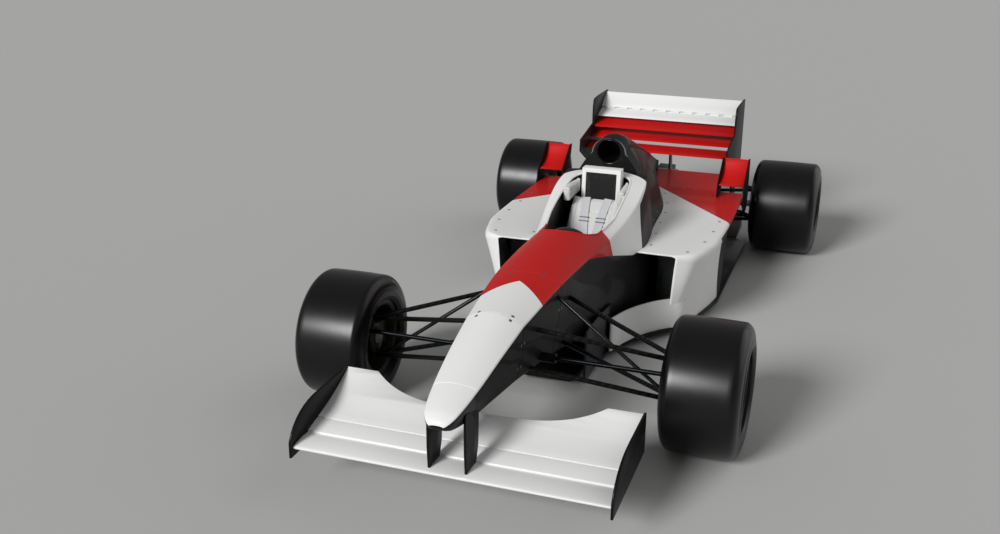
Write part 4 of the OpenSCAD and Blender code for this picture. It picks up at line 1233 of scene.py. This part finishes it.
def display_glass():
    """Dark glass over a switched-off display: its cells, 1.5 mm apart, show faintly, and finger marks dull
    its gloss."""
    material, tree, shader = surface("display_glass", Roughness=0.1, Coat_Weight=1.0)
    x, y, z = axes(tree)
    columns, rows = stripes(tree, x, 1.5, 0.3), stripes(tree, z, 1.5, 0.3)
    lines = add(tree, "Math", columns, rows, operation="MAXIMUM")
    coloured(tree, shader, lines, linear("#12211a"), linear("#070b0a"))
    smears = add(tree, "Math", grain(tree, 14, 3.0), 0.4, operation="MULTIPLY")
    tree.links.new(smears, shader.inputs["Roughness"])
    return material


def make_steering_wheel():
    """Rim, plate, paddles, display, buttons and the column that carries them."""
    axis = Vector(STEERING_AXIS)
    centre = Vector((0, behind_front(740), 600)) + axis * 13
    across = Vector((-1, 0, 0))
    up = axis.cross(across)
    place = Matrix.Translation(centre) @ Matrix((across, up, axis)).transposed().to_4x4()

    def part(name, shape, material):
        """A piece of the wheel, drawn with x across it, y up its face and z towards the driver."""
        thing = piece(name, *turned(shape, place), material, body="steering_wheel")
        return thing

    ring, radii = [], []
    for k in range(96):
        a = 2 * math.pi * k / 96
        r = 105 - 9 * max(0.0, -math.sin(a)) ** 6 - 3 * max(0.0, math.sin(a)) ** 6
        ring.append((r * math.cos(a), r * math.sin(a), 3.0 * math.cos(2 * a)))
        grip = math.exp(-((math.sin(a) / 0.55) ** 4))
        radii.append(10.5 + 2.2 * grip + (0.5 * grip if k % 8 == 0 else 0))
    rim = part("steering_wheel_rim", tube(ring, radii, 16, closed=True), SUEDE)
    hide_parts("steering_wheel")
    plan = []
    for quarter in range(4):
        sx, sy = ((1, 1), (-1, 1), (-1, -1), (1, -1))[quarter]
        bend = bezier((70 * sx, 22 * sy), (66 * sx, 44 * sy), (40 * sx, 43 * sy), 8)
        plan += bend if quarter % 2 == 0 else bend[::-1]
    levels = ((-6, 0.97), (-4, 1), (6, 1), (9, 0.95))
    shapes = [loft([[(x * k, y * k, z) for x, y in plan] for z, k in levels])]
    right_arm = [(60, -13), (60, 13), (99, 17), (99, -17)]
    left_arm = [(-x, y) for x, y in right_arm]
    for arm in (right_arm, left_arm, [(-12, -40), (12, -40), (15, -92), (-15, -92)]):
        shapes.append(loft([[(x, y, z) for x, y in arm] for z in (-3.5, 3.5)]))
    part("steering_wheel_plate", joined(*shapes), CARBON_WHEEL)
    paddles = []
    for sx in (1, -1):
        plan = bezier((sx * 44, -26), (sx * 92, -30), (sx * 90, 4), 8)
        plan += bezier((sx * 90, 8), (sx * 88, 34), (sx * 44, 28), 8)
        x0, x1 = sorted((sx * 40, sx * 52))
        paddles.append(loft([[(x, y, z) for x, y in plan] for z in (-17, -14)]))
        paddles.append(box_shape((x0, -10, -15), (x1, 10, -5), 1))
    part("shift_paddles", joined(*paddles), CARBON_WHEEL)
    behind = Matrix.Translation((0, 0, -22))
    boss = [turned(shape, behind) for shape in (disc(26, 16, 40, 0.5), disc(31, 7, 40, 0.5))]
    column = tube([(0, 0, -30), (0, 0, -717)], 11.8, 24)
    part("steering_column", joined(*boss, column), STEEL)
    part("wheel_display", box_shape((-31, 6, 8.2), (31, 31, 10.6), 1.2), GLASS)
    colours = {"red": RED, "yellow": "#d9b400", "blue": "#16529c", "green": "#1f7a33", "white": WHITE}
    spots = {
        "red": [(-52, 22)], "yellow": [(52, 22)], "blue": [(-50, -8)], "green": [(50, -8)],
        "white": [(-32, -24), (32, -24)],
    }  # fmt: skip
    collars = []
    for name, places in spots.items():
        caps = []
        for x, y in places:
            caps.append(turned(disc(6, 4.5, 24, 1), Matrix.Translation((x, y, 8.4))))
            collars.append(turned(disc(8, 1.8, 28), Matrix.Translation((x, y, 8.2))))
        plastic = moulded_plastic("button_" + name, colours[name], 0.35)
        part("wheel_button_" + name, joined(*caps), plastic)
    dial = turned(disc(11, 8, 12, 0.5), Matrix.Translation((0, -20, 8.4)))
    part("wheel_dials", joined(*collars, dial), ALUMINIUM)


SUEDE = woven_cloth("suede", "#17171a", 1.0)
CARBON_WHEEL = carbon_twill("carbon_twill_wheel", "x", "z", 4.0)
GLASS = display_glass()
make_steering_wheel()


# ---- Small parts ----


def make_fasteners(skins):
    """Quarter-turn fasteners along the panel edges, laid on the skins by casting rays at them."""
    depsgraph = bpy.context.evaluated_depsgraph_get()
    trees = [BVHTree.FromObject(skin, depsgraph) for skin in skins]
    heads, painted_shade_marks = [], []

    def stud(start, direction, radius=7.0):
        best = None
        for tree in trees:
            hit, normal, _, distance = tree.ray_cast(Vector(start) * MM, Vector(direction))
            if hit is not None and (best is None or distance < best[2]):
                best = (hit, normal if normal.dot(Vector(direction)) < 0 else -normal, distance)
        if best is None:
            return
        at = Matrix.Translation(best[0] / MM - best[1] * 0.6) @ facing(best[1])
        # Painted shade: a black ring round each head stands for its well, and two black bars across the head
        # stand for its cross slots.
        painted_shade_marks.append(turned(disc(radius + 1.6, 0.9, 20, edge=0.2), at))
        heads.append(turned(disc(radius, 1.7, 20, edge=0.5), at))
        for turn in (0.35, 0.35 + math.pi / 2):
            slot_shade_bar = box_shape((-radius * 0.62, -0.8, 1.65), (radius * 0.62, 0.8, 2.0), 0.1)
            painted_shade_marks.append(turned(slot_shade_bar, at @ Matrix.Rotation(turn, 4, "Z")))

    for y in (NOSE_JOINT - 16, NOSE_JOINT + 17, behind_front(50), behind_front(83)):
        for x in (-75, 75):
            stud((x, y, 900), (0, 0, -1), 6)
        for side in (1, -1):
            for z in (430, 540):
                stud((side * 400, y, z), (-side, 0, 0), 6)
    for side in (1, -1):
        for y in spread(COVER_Y + 60, REAR_Y - 480, 5):
            stud((side * 500, y, deck(y) + 30), (-side, 0, 0))
        for y in spread(behind_front(1150), REAR_Y - 500, 6):
            stud((side * (through(POD, y, 1) - 62), y, 700), (0, 0, -1))
        for y in spread(behind_front(1200), REAR_Y - 620, 5):
            stud((side * (through(WAIST, y, 1) + 26), y, 530), (0, 0, -1), 6)
        for x in (0.32, 0.62):
            stud((side * (200 + 240 * x), REAR_Y - 470, 700), (0, 0, -1))
    heads_piece = piece("fastener_heads", *joined(*heads), STEEL)
    # Black painted shade for the wells and slots.
    shade_marks_piece = piece("fastener_wells", *joined(*painted_shade_marks), PAINT_BLACK)


def make_flap_blocks():
    """Spacer blocks that fill the slot between the two white flaps, with eleven short gaps left."""
    low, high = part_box("rear_wing_flaps")
    left, right = low.x / MM, high.x / MM
    width = right - left
    pitch = 0.095 * width
    gap = 0.034 * width
    x = left + 0.036 * width
    blocks = []
    section = [(REAR_Y + d, z) for d, z in ((317, 796), (332, 809.5), (344, 812), (352, 805), (340, 796))]
    while x < right - 20:
        end = min(x + pitch - gap, right - 1)
        blocks.append(loft([[(at, y, z) for y, z in section] for at in (x, end)]))
        x += pitch
    strip = piece("rear_flap_spacers", *joined(*blocks), PAINT_WHITE)


def make_rear_light():
    """The rain light on the end of the crash structure."""
    y = REAR_Y + 400
    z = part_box("rear_crash_structure")[1].z / MM - 42
    case = box_shape((-44, y - 2, z - 30), (44, y + 6, z + 30), 3)
    housing = piece("rear_light_housing", *case, PAINT_BLACK)
    lens = piece("rear_light_lens", *box_shape((-38, y + 4, z - 24), (38, y + 11, z + 24), 2.5), LENS)


def make_gearbox_ribs():
    """Stiffening ribs and cover bolts on the sides and top of the gearbox casing."""
    low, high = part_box("gearbox")
    x1, y0, y1 = middle("gearbox").x / MM + 105, low.y / MM + 240, high.y / MM - 14
    z0, z1 = low.z / MM + 12, high.z / MM - 12
    ribs, bolts = [], []
    for side in (1, -1):
        for y in spread(y0, y1, 5):
            a, b = sorted((side * (x1 - 1), side * (x1 + 7)))
            ribs.append(box_shape((a, y - 3.5, z0), (b, y + 3.5, z1), 2.4))
        for z in (z0 + 6, z1 - 6):
            a, b = sorted((side * (x1 - 1), side * (x1 + 5)))
            ribs.append(box_shape((a, y0, z - 5), (b, y1, z + 5), 2))
            for y in spread(y0 + 26, y1 - 26, 7):
                at = Matrix.Translation((side * (x1 + 4), y, z)) @ facing((side, 0, 0))
                bolts.append(turned(disc(5.5, 5, 6), at))
    casing = piece("gearbox_ribs", *joined(*ribs), ALUMINIUM)
    heads = piece("gearbox_bolts", *joined(*bolts), STEEL)


def make_plank():
    """Hardwood skid plank bolted under the middle of the floor."""
    low, high = RIDE_H - 10, RIDE_H + 1
    board = box_shape((-150, behind_front(430), low), (150, REAR_Y - 380, high), 3)
    plank = piece("skid_plank", *board, WOOD)
    bolts = [
        turned(disc(16, 1.4, 24), Matrix.Translation((x, y, low + 0.6)) @ Matrix.Rotation(math.pi, 4, "X"))
        for x in (-110, 110)
        for y in spread(behind_front(500), REAR_Y - 450, 6)
    ]
    heads = piece("plank_bolts", *joined(*bolts), STEEL)


BELL_R = 62
HOLE_SHADE_R = 128.5


def brake_disc(name, centre):
    """Carbon brake disc on a steel hub: the disc's rubbing face is matt with faint rings of wear, rows of
    cooling holes on its rim are painted shade as near-black spots, and inside the bell radius the metal is
    bright."""
    material, tree, shader = surface(name, Roughness=0.6)
    x, y, z = axes(tree)
    dy = add(tree, "Math", y, centre.y, operation="SUBTRACT")
    dz = add(tree, "Math", z, centre.z, operation="SUBTRACT")
    squares = [add(tree, "Math", way, 2, operation="POWER") for way in (dy, dz)]
    radius = add(tree, "Math", add(tree, "Math", *squares, operation="ADD"), operation="SQRT")
    wear = add(tree, "Math", radius, 420, operation="MULTIPLY")
    rings = add(tree, "TexNoise", {"W": wear, "Scale": 1.0, "Detail": 3.0}, noise_dimensions="1D", out="Fac")
    turn = add(tree, "Math", dy, dz, operation="ARCTAN2")
    off = []
    for value, rows in ((turn, 60 / math.tau), (x, 110)):
        place = add(tree, "Math", add(tree, "Math", value, rows, operation="MULTIPLY"), operation="FRACT")
        from_middle = add(tree, "Math", place, 0.5, operation="SUBTRACT")
        off.append(add(tree, "Math", from_middle, operation="ABSOLUTE"))
    # Painted shade: the cooling holes are near-black spots in rows on the disc's rim.
    hole_shade = add(tree, "Math", add(tree, "Math", *off, operation="ADD"), 0.34, operation="LESS_THAN")
    hole_shade_band = add(tree, "Math", radius, HOLE_SHADE_R * MM, operation="GREATER_THAN")
    hole_shade = add(tree, "Math", hole_shade, hole_shade_band, operation="MULTIPLY")
    wear_and_hole_shade = add(tree, "Mix", {0: rings, 6: linear("#151517"), 7: linear("#2b2b2e")}, data_type="RGBA", out=2)
    wear_and_hole_shade = add(tree, "Mix", {0: hole_shade, 6: wear_and_hole_shade, 7: linear("#020202")}, data_type="RGBA", out=2)
    metal = add(tree, "Math", radius, BELL_R * MM, operation="LESS_THAN")
    coloured(tree, shader, metal, wear_and_hole_shade, linear("#8f9193"))
    tree.links.new(metal, shader.inputs["Metallic"])
    roughened(tree, shader, rings, 0.06, 0.3)
    return material


def ply_wood():
    """Resin-bonded beech laminate: brown, with fine dark lines of grain along the car."""
    material, tree, shader = surface("ply_wood", Roughness=0.55)
    x, y, z = axes(tree)
    narrow = add(tree, "Math", x, 240, operation="MULTIPLY")
    long = add(tree, "Math", y, 9, operation="MULTIPLY")
    stretched = add(tree, "CombineXYZ", narrow, long, z)
    lines = add(tree, "TexNoise", {"Vector": stretched, "Scale": 1.0, "Detail": 5.0}, out="Fac")
    coloured(tree, shader, lines, linear("#4b2f1a"), linear("#8a6238"))
    roughened(tree, shader, lines, 0.1, 0.4)
    return material


def radiator_core():
    """Brazed aluminium core: bright flat tubes across it and rows of dark gaps between the fins, whose
    darkness is painted shade.
    """
    material, tree, shader = surface("radiator_core", Metallic=0.9, Roughness=0.42)
    x, y, z = axes(tree)
    tubes, fins = stripes(tree, z, 10, 0.28), stripes(tree, x, 4, 0.4)
    metal_beside_painted_gap_shade = add(tree, "Math", tubes, fins, operation="MAXIMUM")
    # Painted shade: the gaps between the tubes and fins are dark.
    coloured(tree, shader, metal_beside_painted_gap_shade, linear("#17181a"), linear("#8f9294"))
    roughened(tree, shader, metal_beside_painted_gap_shade, 0.8, 0.6)
    return material


def red_lens():
    """Moulded acrylic lens: 6 mm prisms with dark valleys between them, over a bright red core; the dark of
    the valleys is painted shade.
    """
    material, tree, shader = surface("red_lens", Roughness=0.12, Coat_Weight=1.0)
    prisms_and_valley_shade = add(tree, "Math", crossed_waves(tree, 6), operation="ABSOLUTE")
    # Painted shade: the valleys between the prisms are a darker red.
    coloured(tree, shader, prisms_and_valley_shade, linear("#5c0303"), linear("#b30c0a"))
    roughened(tree, shader, prisms_and_valley_shade, 0.8, 0.5)
    return material


LENS = red_lens()
WOOD = ply_wood()
RADIATOR = radiator_core()
GUNMETAL = turned_steel("blacked_steel", "#17181a")
PANELS = ["tub", "tub_front_hatch", "nose_cone_skin", "engine_cover_skin"]
PANELS += ["sidepod_skin_left", "sidepod_skin_right"]
make_fasteners([bpy.data.objects[name] for name in PANELS])
make_flap_blocks()
make_rear_light()
make_gearbox_ribs()
make_plank()
REFINISHED = {
    "radiators": RADIATOR,
    "steering_rack": GUNMETAL,
    "steering_rack_housing": GUNMETAL,
    "front_upright_left": MAGNESIUM,
    "front_upright_right": MAGNESIUM,
    "rear_uprights": MAGNESIUM,
}
for corner_name, centre in WHEELS.items():
    hub = corner_name.replace("_", "_hub_")
    REFINISHED[hub] = brake_disc("brake_disc_" + corner_name, centre)
for node, finish in REFINISHED.items():
    NODES[node].data.materials[0] = finish


# ---- Studio ----


def make_stage():
    """The studio floor."""
    mesh = bpy.data.meshes.new("studio_floor")
    mesh.from_pydata([(-60, -60, 0), (60, -60, 0), (60, 60, 0), (-60, 60, 0)], [], [(0, 1, 2, 3)])
    mesh.materials.append(surface("studio_floor", Base_Color=linear("#bdbdbc"), Roughness=0.9)[0])
    placed("studio_floor", mesh)


def make_sun(name, direction, strength, angle_deg):
    """A sun that shines from the direction; a wide angle softens its shadows."""
    data = bpy.data.lights.new(name, "SUN")
    data.energy = strength
    data.angle = math.radians(angle_deg)
    sun = placed(name, data)
    sun.rotation_euler = (-Vector(direction)).to_track_quat("-Z", "Y").to_euler()


make_stage()
make_sun("key", (-0.31, -0.83, 0.48), 2.7, 18)
make_sun("rear_fill", (0.75, 0.65, 0.45), 0.5, 60)
world = bpy.data.worlds.new("studio")
world.use_nodes = True
world.node_tree.nodes["Background"].inputs["Color"].default_value = (1, 1, 1, 1)
world.node_tree.nodes["Background"].inputs["Strength"].default_value = 0.24
bpy.context.scene.world = world
bpy.context.scene.view_settings.view_transform = "Standard"
